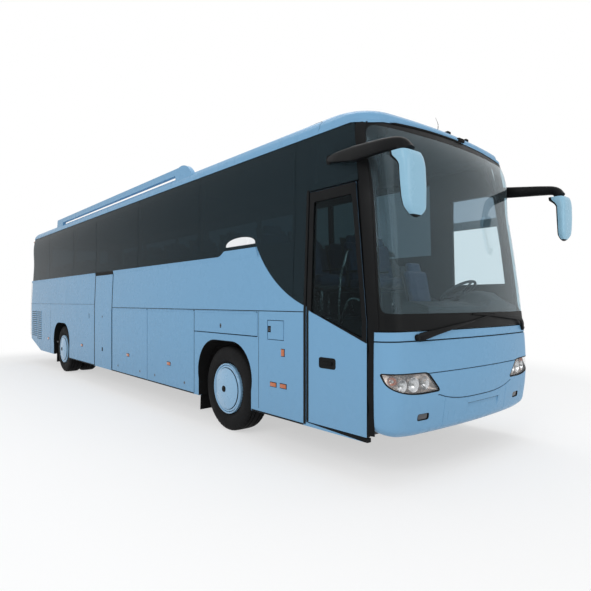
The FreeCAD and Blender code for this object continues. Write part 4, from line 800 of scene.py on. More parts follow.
def line_inside(label, one, *directions):
    """Gives the faces of a CAD piece that look along the directions their own finish."""
    mesh = NODES[label].data
    normals = values(mesh.polygons, "normal", 3)
    marks = values(mesh.polygons, "material_index", 1, np.int32).ravel()
    for direction in directions:
        mesh.materials.append(one)
        marks[normals @ np.array(direction, np.float32) > 0.5] = len(mesh.materials) - 1
    mesh.polygons.foreach_set("material_index", marks)


lining = finish("cabin_lining", (0.060, 0.064, 0.068), (0.048, 0.051, 0.055), grain=22, rough=(0.7, 0.85), bump=0.3,
                bump_scale=900, depth=0.0006, worn=(0.08, 0.08, 0.08))
TO_LEFT, TO_RIGHT, AHEAD, BEHIND, UP, DOWN = (0, 1, 0), (0, -1, 0), (1, 0, 0), (-1, 0, 0), (0, 0, 1), (0, 0, -1)
for inward, one, labels in (
        (TO_LEFT, lining, "side_wall_right mid_door front_door"), (TO_RIGHT, lining, "side_wall_left"),
        (AHEAD, lining, "rear_wall"), (AHEAD, under_coat, "engine_lid"),
        (TO_LEFT, under_coat, "luggage_flap_right_rear luggage_flap_right_front service_flap fuel_flap"),
        (TO_RIGHT, under_coat, "luggage_flap_left_rear luggage_flap_left_front")):
    for label in labels.split():
        line_inside(label, one, inward)
line_inside("front_door", trim, AHEAD, BEHIND, UP, DOWN)
line_inside("floor", under_coat, DOWN, AHEAD)

STEP_REAR, STEP_TOP = 4.99, 0.45
sill = NODES["side_wall_right"].data
centres = values(sill.polygons, "center", 3)
sill_marks = values(sill.polygons, "material_index", 1, np.int32).ravel()
sill.materials.append(trim)
sill_marks[(centres[:, 0] > STEP_REAR) & (centres[:, 2] < STEP_TOP)] = len(sill.materials) - 1
sill.polygons.foreach_set("material_index", sill_marks)

# ---------------------------------------------------------------- side, front quarter and rear glass
GLASS_OUT, GLASS_IN, PANE_TOP, DOOR_EDGE, PANE_GAP = -0.008, -0.0135, 3.228, 4.991, 0.004
PANE_ENDS = np.array([-6.386, -4.630, -2.718, -1.256, 0.761, 2.775, 4.779])
DIP = through((4.110, 2.190), (4.490, 1.785), (4.985, 1.530), 30)
FOOT_LINE = np.vstack([[(-6.5, 2.132), (3.325, 2.132), (3.450, 2.192)], DIP, [(5.815, 1.230)]])


def band_foot(x):
    """The lower edge of the dark band: level, up over the quarter trim, down a long arc and along the door."""
    return np.interp(x, FOOT_LINE[:, 0], FOOT_LINE[:, 1])


def front_edge(height):
    """The front edge of the side glass: upright to the windscreen's foot, then leaning back with its seam."""
    lean = (SEAM_FOOT[0] - SEAM_TOP[0]) / (SEAM_TOP[1] - SEAM_FOOT[1])
    return 5.804 - lean * np.clip(height - SEAM_FOOT[1], 0, None)


def with_corners(start, end, count, line):
    """Evenly spread places from start to end, with those of a line's corners that lie between them."""
    corners = line[(line[:, 0] > start) & (line[:, 0] < end), 0]
    return np.unique(np.concatenate([np.linspace(start, end, count), corners]))


def add_pane(shape, x, height, sign, mark=0):
    """A pane's wall between the glass's outer and inner depths, over a grid of places on one side."""
    add_walled(shape, *off_shell(height, side_at(x, height, sign), GLASS_OUT, GLASS_IN), mark, mark)


def add_side_pane(shape, x, sign):
    """A pane from the dark band's lower edge up to the roof's, over columns of places along one side."""
    add_pane(shape, x[None], band_foot(x) + (PANE_TOP - band_foot(x)) * np.linspace(0, 1, 24)[:, None], sign)


panes = Moulding()
for sign in SIGNS:
    for rear, front in zip(PANE_ENDS[:-1] + PANE_GAP, PANE_ENDS[1:] - PANE_GAP):
        add_side_pane(panes, with_corners(rear, front, 30, FOOT_LINE), sign)
add_side_pane(panes, np.linspace(PANE_ENDS[-1] + PANE_GAP, DOOR_EDGE, 8), -1)
height = np.linspace(2.669, PANE_TOP, 14)[:, None]
rear = DOOR_EDGE + PANE_GAP
add_pane(panes, rear + (front_edge(height) - rear) * np.linspace(0, 1, 24), height, -1)
# the driver's window: clear below its rail, lightly shaded above it, dark glass all round
CLEAR_LOW, CLEAR_TOP, SHADE_LOW, SHADE_TOP = 1.793, 2.491, 2.596, 2.870
DRIVER_REAR, DRIVER_START, DRIVER_END, FRONT_STRIP = 5.048, 0.25, 0.94, 0.045
rear = PANE_ENDS[-1] + PANE_GAP
columns = np.concatenate([np.linspace(0, 0.24, 4), np.linspace(DRIVER_START, DRIVER_END, 16), [0.97, 1.0]])
start = band_foot(rear + (5.804 - rear) * columns)
height = [start + (CLEAR_LOW - start) * share for share in np.linspace(0, 1, 8)]
height += [np.full_like(start, z) for z in (
    *np.linspace(CLEAR_LOW, CLEAR_TOP, 9)[1:], SHADE_LOW, *np.linspace(SHADE_LOW, SHADE_TOP, 4)[1:],
    *np.linspace(SHADE_TOP, PANE_TOP, 6)[1:])]
height = np.array(height)
x = (rear + (DRIVER_REAR - rear) * np.clip(columns / DRIVER_START, 0, 1)
     + (front_edge(height) - FRONT_STRIP - DRIVER_REAR)
     * np.clip((columns - DRIVER_START) / (DRIVER_END - DRIVER_START), 0, 1)
     + FRONT_STRIP * np.clip((columns - DRIVER_END) / (1 - DRIVER_END), 0, 1))
middle = (columns[1:] + columns[:-1]) / 2
level = (height[1:, 5] + height[:-1, 5])[:, None] / 2
inside = (middle > DRIVER_START) & (middle < DRIVER_END)
tints = np.where(inside & (level > CLEAR_LOW) & (level < CLEAR_TOP), 1,
                 np.where(inside & (level > SHADE_LOW) & (level < SHADE_TOP), 2, 0))
add_pane(panes, x, height, 1, tints)
TAIL_AT = np.linspace(0.0, 1.2, 200)
TAIL_SPAN = np.abs(shell(2.6, TAIL_AT)[:, 1])
y = np.linspace(-0.982, 0.982, 41)
at = np.interp(np.abs(y), TAIL_SPAN, TAIL_AT)
height = np.linspace(2.243, 3.077, 16)[:, None]
add_walled(panes, *off_shell(height, np.where(y < 0, at, LAP - at), GLASS_OUT, GLASS_IN))
pane_piece = panes.made("window_panes", "coach_body", "tinted_glass", dark_glass, side_glass, shade_glass,
                        soft_angle=0.6)
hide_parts("cabin_glass")

# ---------------------------------------------------------------- roof
ROOF_LINE, CORNER_DROP, ROOF_SEAM = 3.231, 0.052, 5.10


def roof_foot(at):
    """The roof's lower edge round the plan: level, and 52 mm lower round the two front corners, by a bell."""
    near = np.where(np.asarray(at) > NOSE_AT, LAP - np.asarray(at), at)
    return ROOF_LINE - CORNER_DROP * np.exp(-((near - 3.62) / 0.62) ** 2)


def roof_panel():
    """The roof: smooth rings between the glass and the top, then rings drawn in to the middle line with a
    low camber, 8 mm times one less the square of the share left."""
    at = np.concatenate([np.linspace(k, k + 1, count)[:-1] for k, count in enumerate((18, 14, 50, 18, 20))])
    at = np.concatenate([at, [NOSE_AT], LAP - at[:0:-1]])
    height = np.concatenate([np.linspace(3.255, 3.36, 13), np.linspace(3.365, 3.42, 16),
                             np.linspace(3.425, 3.4745, 10)])[:, None]
    foot = roof_foot(at) + (3.250 - roof_foot(at)) * np.array([0, 0, 0.35, 0.7, 1.0])[:, None]
    proud = np.array([-0.004] + [0.0015] * 4 + [0.0] * len(height))[:, None]
    rings = off_shell(np.vstack([foot, height + 0 * at]), at, proud)[0]
    share = np.array([0.93, 0.8, 0.6, 0.4, 0.2, 0.0])[:, None]
    top = np.repeat(rings[-1][None], len(share), 0)
    top[..., 1] *= share
    top[..., 2] += 0.008 * (1 - share ** 2)
    rings[..., 2] -= groove(rings[..., 0] - ROOF_SEAM, 0.006, 0.005)
    return Moulding().grid(np.concatenate([rings, top]), around=True)


roof_piece = thickened(roof_panel().made("roof_panel", "coach_body", "body_paint", paint, closed=False,
                                         soft_angle=0.8), 0.030, lining)
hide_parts("roof")

fittings = Moulding()
for hatch_x in (3.55, -4.75):
    add_block(fittings, (hatch_x, 0, 3.497), (0.40, 0.37, 0.022), 0.016, 0)
    add_block(fittings, (hatch_x, 0, 3.486), (0.43, 0.40, 0.010), 0.008, 1)
add_block(fittings, (4.62, 0.30, 3.490), (0.05, 0.03, 0.012), 0.010, 1)
add_block(fittings, (4.72, -0.26, 3.494), (0.045, 0.028, 0.018), 0.012, 1)
add_block(fittings, (4.50, 0.62, 3.470), (0.05, 0.03, 0.014), 0.010, 1)
root = shell(3.345, 4.86)
fittings.tube(smooth_path([root - (0, 0, 0.01), root + (0.004, 0, 0.05), root - (0.022, 0.006, -0.125)], 12),
              np.linspace(0.008, 0.003, 12), count=8, mark=1)
fittings.made("roof_fittings", "coach_body", "unit_cover", cover, trim)

gutter = Moulding()
gutter_run = np.linspace(4.07, 5.16, 60)
gutter.tube(shell(roof_foot(gutter_run) + 0.003, gutter_run, -0.0022), 0.008,
            0.020 * np.clip(np.sin(np.linspace(0, np.pi, 60)) * 5, 0.05, 1), count=8, power=4)
add_block(gutter, shell(3.262, 5.14, -0.004), (0.020, 0.055, 0.020), 0.012)
add_block(gutter, shell(3.345, 5.02, 0.012) + (0, 0.05, 0), (0.030, 0.030, 0.020), 0.010)
add_block(gutter, shell(3.330, 5.42, 0.004), (0.026, 0.026, 0.016), 0.010)
for sign in SIGNS:
    height = np.linspace(3.236, 3.40, 24)
    gutter.tube(shell(height, side_at(ROOF_SEAM, np.minimum(height, 3.35), sign), -0.0006), 0.0026, count=6)
gutter.made("roof_gutter", "coach_body", "black_trim", rubber)

# ---------------------------------------------------------------- side trim
BELT_FOOT, BELT_TOP = 2.072, 2.128
REAR_END, DOORWAY_REAR, DOORWAY_FRONT, DOOR_POST = -6.26, -1.226, -0.287, 4.960
SILL_LOW, SILL_HIGH = 0.3560, 0.3720
HUMP = np.array([(REAR_END, BELT_TOP), (3.300, BELT_TOP), (3.360, 2.140), (3.440, 2.188), (4.105, 2.188),
                 (4.150, 2.100)])


def ribbon(shape, x, low, high, sign, low_out, high_out, back=0.004):
    """A band along a side wall between two heights, standing out by its own amount at each edge."""
    shape.grid([on_side(x, z, sign, out) for z, out in (
        (low, -back), (low, low_out), ((low + high) / 2, (low_out + high_out) / 2), (high, high_out), (high, -back))],
        flip=sign > 0)
    return shape


def upright(shape, low_x, high_x, height, sign, out, back=0.004):
    """A flat strip standing up a side wall between two places along it."""
    shape.grid([on_side(x, height, sign, proud) for x, proud in (
        (low_x, -back), (low_x, out), (high_x, out), (high_x, -back))], flip=sign < 0)


for sign, side in SIDES:
    right = sign < 0
    belt = Moulding()
    for start, end in ((REAR_END, DOORWAY_REAR), (DOORWAY_FRONT, 4.15)) if right else ((REAR_END, 4.15),):
        x = with_corners(start, end, 50, HUMP)
        ribbon(belt, x, BELT_FOOT, np.interp(x, HUMP[:, 0], HUMP[:, 1]), sign, 0.0003, 0.011)
    belt.made("belt_strip_" + side, "coach_body", "body_paint", paint, closed=False, soft_angle=0.15)

    lines = Moulding()
    for start, end, low, high in (((REAR_END, DOORWAY_REAR, 1.5240, 1.5295), (DOORWAY_FRONT, DOOR_POST, 1.4715, 1.4800))
                                  if right else ((REAR_END, 5.700, 1.4715, 1.4780),)):
        ribbon(lines, np.linspace(start, end, 40), low, high, sign, 0.0009, 0.0009)
    for x, low, high in ((2.7275, 0.36, 1.47), (4.196, 0.40, 1.47), (-6.295, 0.70, 2.12),
                         (-4.35, 0.36, 1.525 if right else 1.4715)):
        upright(lines, x - 0.0025, x + 0.0025, np.linspace(low, high, 8), sign, 0.0008, 0.003)
    if right:
        ribbon(lines, np.linspace(DOORWAY_REAR, DOORWAY_FRONT, 16), 2.069, 2.129, sign, 0.0040, 0.0040)
        for low_x, high_x in ((-1.232, -1.210), (-0.303, -0.281)):
            upright(lines, low_x, high_x, np.linspace(0.357, 2.070, 30), sign, 0.0015)
    for start, end in ((-2.845, -1.234), *(((-0.283, -0.276),) if right else ()), (4.060, DOOR_POST)):
        ribbon(lines, np.linspace(start, end, 12), SILL_LOW, SILL_HIGH, sign, 0.0015, 0.0015, 0.012)
    lines.made("panel_joints_" + side, "coach_body", "black_trim", rubber, closed=False)
    for place, start, end in (("rear", -0.270, 1.212), ("front", 1.233, 2.715)):
        strip = ribbon(Moulding(), np.linspace(start, end, 12), SILL_LOW, SILL_HIGH, sign, 0.0015, 0.0015, 0.012)
        label = "luggage_flap_%s_%s" % (side, place)
        strip.made(label + "_strip", label, "black_trim", rubber, closed=False)

    turn = np.linspace(0, np.pi, 25)
    outline = np.vstack([np.stack([3.7775 - 0.307 * np.cos(turn), 2.236 + 0.092 * np.sin(turn) ** 0.8], -1),
                         np.stack([np.linspace(4.07, 3.485, 14), np.full(14, 2.232)], -1)])
    rings = shrunk(outline, (0, 0.5, 0.9, 0.98, 1.0, 1.0), (3.7775, 2.262))
    quarter = Moulding().grid(laid(on_side, rings, [0.0025, 0.0025, 0.0025, 0.002, 0.0008, -0.003], sign), around=True)
    quarter.made("quarter_trim_" + side, "coach_body", "body_paint", finish(
        "quarter_white_" + side, (0.86, 0.87, 0.88), (0.82, 0.83, 0.84), grain=20, rough=(0.2, 0.3), bump=0.05))

# ---------------------------------------------------------------- front door and mid door trim
DOOR_REAR, DOOR_FRONT, DOOR_HEAD = 5.010, 5.802, 2.652
SWEEP_REAR, SWEEP_FRONT = (4.985, 1.530), (5.810, 1.230)


def sweep_height(x):
    """The height of the glass band's lower line where it crosses the front door."""
    return SWEEP_REAR[1] + (x - SWEEP_REAR[0]) * (SWEEP_FRONT[1] - SWEEP_REAR[1]) / (SWEEP_FRONT[0] - SWEEP_REAR[0])


outer = rounded_outline([(DOOR_REAR, sweep_height(DOOR_REAR) - 0.02), (DOOR_FRONT, sweep_height(DOOR_FRONT) - 0.02),
                         (DOOR_FRONT, 1.405), (5.627, DOOR_HEAD), (DOOR_REAR, DOOR_HEAD)], 0.008, 5)
inner = rounded_outline([(5.072, 1.478), (5.748, 1.254), (5.748, 1.405), (5.583, 2.551), (5.072, 2.551)], 0.022, 5)
rings = between(outer, inner, (0.0, 0.0, 0.004, 0.5, 0.996, 1.0, 1.0))
door_surround = Moulding().grid(laid(on_side, rings, [-0.006, 0.002, 0.003, 0.003, 0.003, 0.002, -0.010], -1),
                                around=True)
door_surround.made("door_surround", "front_door", "black_trim", trim, closed=False)

door_trim = Moulding()
upright(door_trim, 5.0105, 5.036, np.linspace(0.402, 1.515, 14), -1, 0.004)
rings = shrunk(box_outline(5.190, 5.415, 0.946, 1.048, 0.028), (1.04, 1.0, 0.93, 0.90, 0.86, 0.4, 0.0))
door_trim.grid(laid(on_side, rings, [-0.003, 0.0035, 0.0035, 0.0015, 0.0006, 0.0006, 0.0006], -1), around=True)
add_block(door_trim, (5.300, -1.2800, 0.997), (0.070, 0.006, 0.016), 0.005, 1)
door_trim.made("door_handle_trim", "front_door", "black_trim", trim, rubber, closed=False)


def beside_screen(shape, sign, low, high, count, *profile):
    """A strip up the windscreen's rear edge; the profile gives (place forwards of it, out) across the strip."""
    height = np.linspace(low, high, count)
    rows = np.array([shell(height, corner_start(height, shift), -out) for shift, out in profile])
    rows[..., 1] *= -sign
    shape.grid(rows, flip=sign < 0)


strips, posts = Moulding(), Moulding()
upright(strips, 4.962, 4.994, np.linspace(0.37, 2.68, 30), -1, 0.004)
post_top = float(roof_foot(corner_start(3.18, 0.05))) + 0.001
for sign in SIGNS:
    beside_screen(strips, sign, 0.420, 1.40, 30, (0.001, -0.006), (0.001, 0.0030), (0.030, 0.0035), (0.062, 0.0030),
                  (0.062, -0.006))
    beside_screen(posts, sign, 1.318, post_top, 40, (0.001, -0.010), (0.001, 0.0020), (0.05, 0.0030), (0.098, 0.0030),
                  (0.100, -0.010))
strips.made("corner_strips", "coach_body", "black_trim", trim, closed=False)
posts.made("corner_posts", "coach_body", "black_trim", trim, closed=False)

# ---------------------------------------------------------------- markers, locks and keyholes


def on_seat(shape, x, sign, z, half):
    """A rounded amber lens on a thin black seat; half gives (lens half sizes, its radius, seat half sizes)."""
    add_block(shape, (x, sign * 1.2765, z), half[0], half[1], 1)
    add_block(shape, (x, sign * 1.2745, z), half[2], 0.0035)


MARKER = ((0.052, 0.006, 0.021), 0.005, (0.058, 0.004, 0.027))
TURN_LAMP = ((0.026, 0.007, 0.036), 0.006, (0.031, 0.004, 0.041))
small = Moulding()
for sign, side in SIDES:
    for x, z in ((-4.526, 0.696), (-1.983, 0.695), (4.465, 0.694), (4.636, 0.697))[:4 if sign < 0 else 3]:
        on_seat(small, x, sign, z, MARKER)
    for x, z, end in ((0.449, 0.689, "rear"), (1.972, 0.687, "front")):
        loose = Moulding()
        on_seat(loose, x, sign, z, MARKER)
        loose.made("marker_%s_%s" % (side, end), "luggage_flap_%s_%s" % (side, end), "lamp_lens", rubber, amber_lens)
    on_seat(small, 4.630, sign, 1.044, TURN_LAMP)
    add_block(small, (-1.533, sign * 1.2752, 1.298), (0.007, 0.0025, 0.050), 0.002)
small.made("side_markers", "coach_body", "lamp_lens", rubber, amber_lens)


def lock(shape, x, sign, z):
    """A round lock: a shallow dished ring with a dark keyway across it."""
    profile = [(0, 0.0012), (0.012, 0.0012), (0.0135, 0.0026), (0.0165, 0.0028), (0.0185, 0.0010), (0.0185, -0.004)]
    shape.lathe([(r, sign * reach) for r, reach in profile], (x, sign * 1.2752, z), 28)
    add_block(shape, (x, sign * 1.2768, z), (0.0018, 0.0012, 0.0085), 0.001, 1)


REAR_FLAP_LOCKS, FRONT_FLAP_LOCKS = ((0.00, 0.47), (0.94, 0.47)), ((1.50, 0.47), (2.45, 0.47))
for label, spots in (("mid_door", ((-0.787, 0.698), (-0.787, 1.30))), ("service_flap", ((3.393, 1.283),)),
                     ("fuel_flap", ((4.394, 1.282),)), ("luggage_flap_right_rear", REAR_FLAP_LOCKS),
                     ("luggage_flap_right_front", FRONT_FLAP_LOCKS), ("luggage_flap_left_rear", REAR_FLAP_LOCKS),
                     ("luggage_flap_left_front", FRONT_FLAP_LOCKS)):
    locks = Moulding()
    sign = 1 if "left" in label else -1
    for x, z in spots:
        lock(locks, x, sign, z)
        if (label, z) in (("mid_door", 0.698), ("fuel_flap", 1.282), ("service_flap", 1.283)):
            wide, tall = (0.013, 0.026) if label == "service_flap" else (0.026, 0.034)
            add_block(locks, (x, sign * 1.2748, z), (wide, 0.0022, tall), 0.002, 1)
    locks.made(label + "_locks", label, "bare_metal", metal, rubber)

# ---------------------------------------------------------------- tyres and wheels
AXLES = {"front": 3.450, "rear": -3.450}
AXLE_HEIGHT = 0.515
TYRE_STEPS, TREAD_REPEAT = 216, 4
# one half of a tyre's section from the bead to the middle of the tread: share of half its width, radius
TYRE_SECTION = np.array([
    (0.62, 0.284), (0.80, 0.316), (0.97, 0.352), (0.985, 0.430), (0.90, 0.487), (0.84, 0.500), (0.83, 0.503),
    (0.75, 0.510), (0.62, 0.513), (0.60, 0.500), (0.56, 0.500), (0.54, 0.514), (0.30, 0.5148), (0.28, 0.501),
    (0.22, 0.501), (0.20, 0.515)])


def tyre_points(x, y_in, y_out, sign):
    """A tyre: its section swept round the axle. The section is a rounded side, two low rings and a tread with
    four round grooves; slots along the shoulders come and go with the angle."""
    reach, radius = np.vstack([TYRE_SECTION * (-1, 1), TYRE_SECTION[::-1]]).T
    middle, half = sign * (y_in + y_out) / 2, abs(y_out - y_in) / 2
    turn = np.linspace(0, 2 * np.pi, TYRE_STEPS, endpoint=False)
    slot = np.arange(TYRE_STEPS) % TREAD_REPEAT == 0
    shoulder = np.exp(-((np.abs(reach) - 0.80) / 0.09) ** 2)
    r = np.append(radius[:, None] - 0.010 * shoulder[:, None] * slot, np.full((1, TYRE_STEPS), 0.282), 0)
    y = middle + sign * half * np.append(reach, 0)
    return stacked(x + r * np.cos(turn), y[:, None], AXLE_HEIGHT + r * np.sin(turn))


def wheel_points(shape, x, face, sign, width, trimmed):
    """A wheel: a rolled rim, a deep barrel, a dished centre and its hub. The outer one wears a domed trim with a step
    near its edge and a dark hub cap; a dome's height falls with the square of the radius. The floors of two narrow
    grooves in the trim are painted dark, as painted shadow."""

    def swept(profile, steps, mark=0):
        shape.lathe([(r, sign * (face + out)) for r, out in profile], (x, 0, AXLE_HEIGHT), steps, mark=mark)

    swept([(0.296, -0.016), (0.302, -0.006), (0.303, 0.004), (0.297, 0.010), (0.289, 0.006), (0.284, -0.006),
           (0.276, -0.030), (0.262, -0.060), (0.258, -width + 0.05), (0.276, -width + 0.03), (0.294, -width),
           (0.300, -width + 0.006)], 72)
    swept([(0.0, -0.12), (0.09, -0.12), (0.10, -0.16), (0.16, -0.165), (0.20, -0.14), (0.258, -0.15)], 48, 2)
    swept([(0.0, -0.205), (0.205, -0.20), (0.212, -0.19), (0.212, -0.16), (0.2, -0.15)], 48, 2)
    if not trimmed:
        return
    r = np.linspace(0.244, 0.040, 16)
    dome = np.stack([r, 0.047 + 0.032 * (1 - (r / 0.244) ** 2)], -1)
    edge = [(0.3030, -0.012), (0.3065, 0.018), (0.3062, 0.030), (0.3035, 0.0365), (0.2980, 0.039), (0.2890, 0.0365),
            (0.2850, 0.030), (0.2835, 0.0265), (0.2800, 0.0265), (0.2785, 0.031), (0.2750, 0.034), (0.2570, 0.035),
            (0.2550, 0.032), (0.2545, 0.027), (0.2505, 0.027), (0.2495, 0.042), (0.2475, 0.046)]
    # painted shadow: the floors of the trim's two narrow grooves take the dark rubber
    painted_shadow_rings = [7, 13, 14]
    line = np.vstack([edge, dome, [(0.036, 0.0770), (0.0, 0.0770)]])
    tints = np.zeros((len(line) - 1, 96))
    tints[painted_shadow_rings] = 1
    swept(line, 96, tints)
    swept([(0.0385, 0.0760), (0.0375, 0.0830), (0.030, 0.0855), (0.008, 0.0860), (0.0, 0.0855)], 32, 1)


for end, body, tyre_label, wheel_label in (("front", "front_wheel_", "tyre_front_", "wheel_front_"),
                                           ("rear", "rear_wheels_", "tyres_rear_", "wheels_rear_")):
    twin = end == "rear"
    for sign, side in SIDES:
        tyre, wheel = Moulding(), Moulding()
        for y_in, y_out in ((0.928, 1.222), (0.596, 0.890))[:1 + twin]:
            tyre.grid(tyre_points(AXLES[end], y_in, y_out, sign), around=True, along=True)
        piece = tyre.made(tyre_label + side + "_rubber", body + side, "tyre", tyre_rubber, soft_angle=0.6)
        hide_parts(tyre_label + side)
        wheel_points(wheel, AXLES[end], 1.185, sign, 0.235, True)
        if twin:
            wheel_points(wheel, AXLES[end], 0.865, sign, 0.245, False)
        piece = wheel.made(wheel_label + side + "_trim", body + side, "wheel_paint", wheel_finish, rubber, metal,
                           soft_angle=0.5)
        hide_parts(wheel_label + side)

# ---------------------------------------------------------------- mirrors
LIFT = {-1: 0.0, 1: 0.034}
HEAD_TOP, HEAD_TALL = 2.740, 0.515
HEAD_SHARE = np.array([0, 0.10, 0.17, 0.24, 0.5, 0.72, 0.84, 0.93, 1.0])
# outer side, inner side, rear and front of a mirror head down its height
HEAD_LINES = np.array([(1.520, 1.524, 1.522, 1.520, 1.518, 1.506, 1.488, 1.462, 1.440),
                       (1.275, 1.262, 1.259, 1.257, 1.252, 1.254, 1.256, 1.264, 1.275),
                       (6.226, 6.238, 6.288, 6.322, 6.332, 6.338, 6.342, 6.346, 6.350),
                       (6.390, 6.414, 6.419, 6.422, 6.425, 6.425, 6.424, 6.420, 6.412)])


def mirror_rings(sign, rows=26, count=40):
    """A mirror head: rounded rings stacked from top to bottom. Their sides follow lines down the head, and a
    square root at both ends closes them."""
    t = np.sin(np.linspace(0, np.pi / 2, rows)) ** 2 * 0.25 + np.linspace(0, 1, rows) * 0.75
    outer, inner, rear, front = [np.interp(t, HEAD_SHARE, line)[:, None] for line in HEAD_LINES]
    close = 0.25 + 0.75 * np.sqrt(np.clip(np.minimum(t / 0.03, (1 - t) / 0.12), 0, 1))[:, None]
    turn = np.linspace(0, 2 * np.pi, count, endpoint=False)
    power = np.where(np.sin(turn) > 0, 0.50, 0.45)
    forward, across = squared(np.sin(turn), power), squared(np.cos(turn), power)
    rings = stacked((rear + front) / 2 + (front - rear) / 2 * close * forward,
                    sign * ((outer + inner) / 2 + (outer - inner) / 2 * close * across),
                    (HEAD_TOP + LIFT[sign] - HEAD_TALL * t)[:, None])
    caps = rings.mean(1, keepdims=True) + 0 * rings
    rim = np.tile((np.roll(forward, -1) + forward) / 2 < -0.40, (rows + 1, 1))
    rim[-2:] = True
    return np.concatenate([caps[:1], rings, caps[-1:]]), rim.astype(int)


mirrors = Moulding()
for sign in SIGNS:
    rings, rim = mirror_rings(sign)
    mirrors.grid(rings, around=True, mark=rim)
    lift = np.array([0, 0, LIFT[sign]])
    arm = smooth_path([(5.250, sign * 1.222, 2.922), (5.42, sign * 1.268, 2.905), (5.674, sign * 1.312, 2.874),
                       (5.92, sign * 1.355, 2.852), (6.12, sign * 1.385, 2.834), (6.27, sign * 1.392, 2.808),
                       (6.335, sign * 1.385, 2.738)] + lift, 44)
    wide, tall = [np.interp(np.linspace(0, 1, 44), (0, 0.12, 0.35, 0.6, 0.8, 1), sizes) for sizes in (
        (0.030, 0.050, 0.072, 0.084, 0.090, 0.11), (0.030, 0.080, 0.132, 0.112, 0.098, 0.10))]
    mirrors.tube(arm, wide, tall, 20, 3.0, mark=1)
    foot = smooth_path([(5.290, sign * 1.206, 2.915), (5.290, sign * 1.245, 2.915)] + lift, 6)
    mirrors.tube(foot, 0.085, 0.060, 16, 3.0, mark=1, up=(1, 0, 0))
    pane = [(1.486, 2.600), (1.290, 2.600), (1.286, 2.400), (1.310, 2.300), (1.420, 2.300), (1.480, 2.400)]
    ring = shrunk(resampled(rounded_outline(pane, 0.05, 6), 48), (1.0, 1.0, 0.6, 0.0))
    depth = np.array([0.006, -0.0008, -0.0008, -0.0008])[:, None]
    depth = depth + np.interp((2.750 - ring[..., 1]) / 0.525, HEAD_SHARE, HEAD_LINES[2])
    mirrors.grid(stacked(depth, sign * ring[..., 0], ring[..., 1] + LIFT[sign]), around=True, mark=2)
mirror_piece = mirrors.made("door_mirrors", "coach_body", "black_trim", mirror_paint, trim, mirror_face)
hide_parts("mirrors")

# ---------------------------------------------------------------- wipers
wipers = Moulding()
for pivot, elbow, tip in (((-0.920, 1.262), (-0.66, 1.306), (-0.06, 1.392)),
                          ((1.040, 1.285), (0.95, 1.390), (0.34, 1.430))):
    base = on_nose(*pivot, -0.004)
    wipers.tube([on_nose(*pivot, 0.01), base, base + (0.016, 0, 0), base + (0.024, 0, 0)],
                [0.062, 0.062, 0.054, 0.03], count=20)
    pivot, elbow, tip = np.array([pivot, elbow, tip])
    run = np.linspace(0, 1, 22)
    along = smooth_path([pivot, elbow, (elbow + tip) / 2 + (0, 0.004), tip], 22)
    arm = on_nose(along[:, 0], along[:, 1])
    arm[:, 0] += 0.012 + 0.016 * np.sin(run * np.pi) ** 0.6
    wipers.tube(arm, np.interp(run, (0, 0.06, 0.3, 1), (0.020, 0.034, 0.018, 0.006)),
                np.interp(run, (0, 0.06, 0.3, 1), (0.050, 0.078, 0.052, 0.012)), 12, 3.0)
    direction = (tip - elbow) / np.linalg.norm(tip - elbow)
    blade = smooth_path([on_nose(*(tip + direction * reach), -0.001) + (0.004, 0, 0)
                         for reach in (-0.42, -0.2, 0.0, 0.2, 0.42)], 24)
    wipers.tube(blade, 0.008, 0.020, 8, 4.0, mark=1)
    wipers.tube(blade + np.array([0.010, 0, 0.004]) * np.clip(np.sin(np.linspace(0, np.pi, 24)), 0, 1)[:, None],
                0.006, 0.010, 8, 4.0)
wiper_piece = wipers.made("screen_wipers", "coach_body", "black_trim", trim, rubber)
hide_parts("wipers")

# ---------------------------------------------------------------- seats
STUFFING_STEPS = 18


def evaluated_mesh(made):
    """A mesh of the object as its modifiers leave it."""
    return bpy.data.meshes.new_from_object(made.evaluated_get(bpy.context.evaluated_depsgraph_get()))


def stuffed(name, half, swell):
    """A pad blown up by cloth simulation from a slightly smaller rounded box, no point moving beyond swell."""
    shape = Moulding().grid(block_points((0, 0, 0), np.array(half) - swell * 0.6, min(half) * 0.55), around=True)
    made = shape.made(name, "coach_body", "seat_fabric", cloth, soft_angle=0)
    made.parent = None
    remesh = made.modifiers.new("even", "REMESH")
    remesh.mode, remesh.voxel_size = "VOXEL", 0.022
    start = evaluated_mesh(made)
    made.modifiers.clear()
    made.data = start
    points = values(start.vertices, "co", 3, float)
    soft = made.modifiers.new("stuffing", "CLOTH")
    soft.settings.use_pressure = True
    soft.settings.uniform_pressure_force = 4.0
    soft.settings.effector_weights.gravity = 0.0
    soft.settings.quality = 4
    for step in range(1, STUFFING_STEPS + 1):
        bpy.context.scene.frame_set(step)
    move = values(evaluated_mesh(made).vertices, "co", 3, float) - points
    bpy.context.scene.frame_set(1)
    far = np.linalg.norm(move, axis=1, keepdims=True)
    points = points + move * np.minimum(1, swell / np.maximum(far, 1e-9))
    made.modifiers.clear()
    quads = [list(face.vertices) for face in start.polygons]
    bpy.data.objects.remove(made)
    return points, quads


def channelled(points, half, axis, places, depth, width=0.014):
    """Sewn channels: points near each line across a pad sink towards its middle plane."""
    line = np.min(np.abs(points[:, axis:axis + 1] - np.array(places)), axis=1)
    sink = depth * np.exp(-(line / width) ** 2)
    points = points.copy()
    points[:, 2] -= sink * np.clip(points[:, 2] / half[2], -1, 1)
    return points


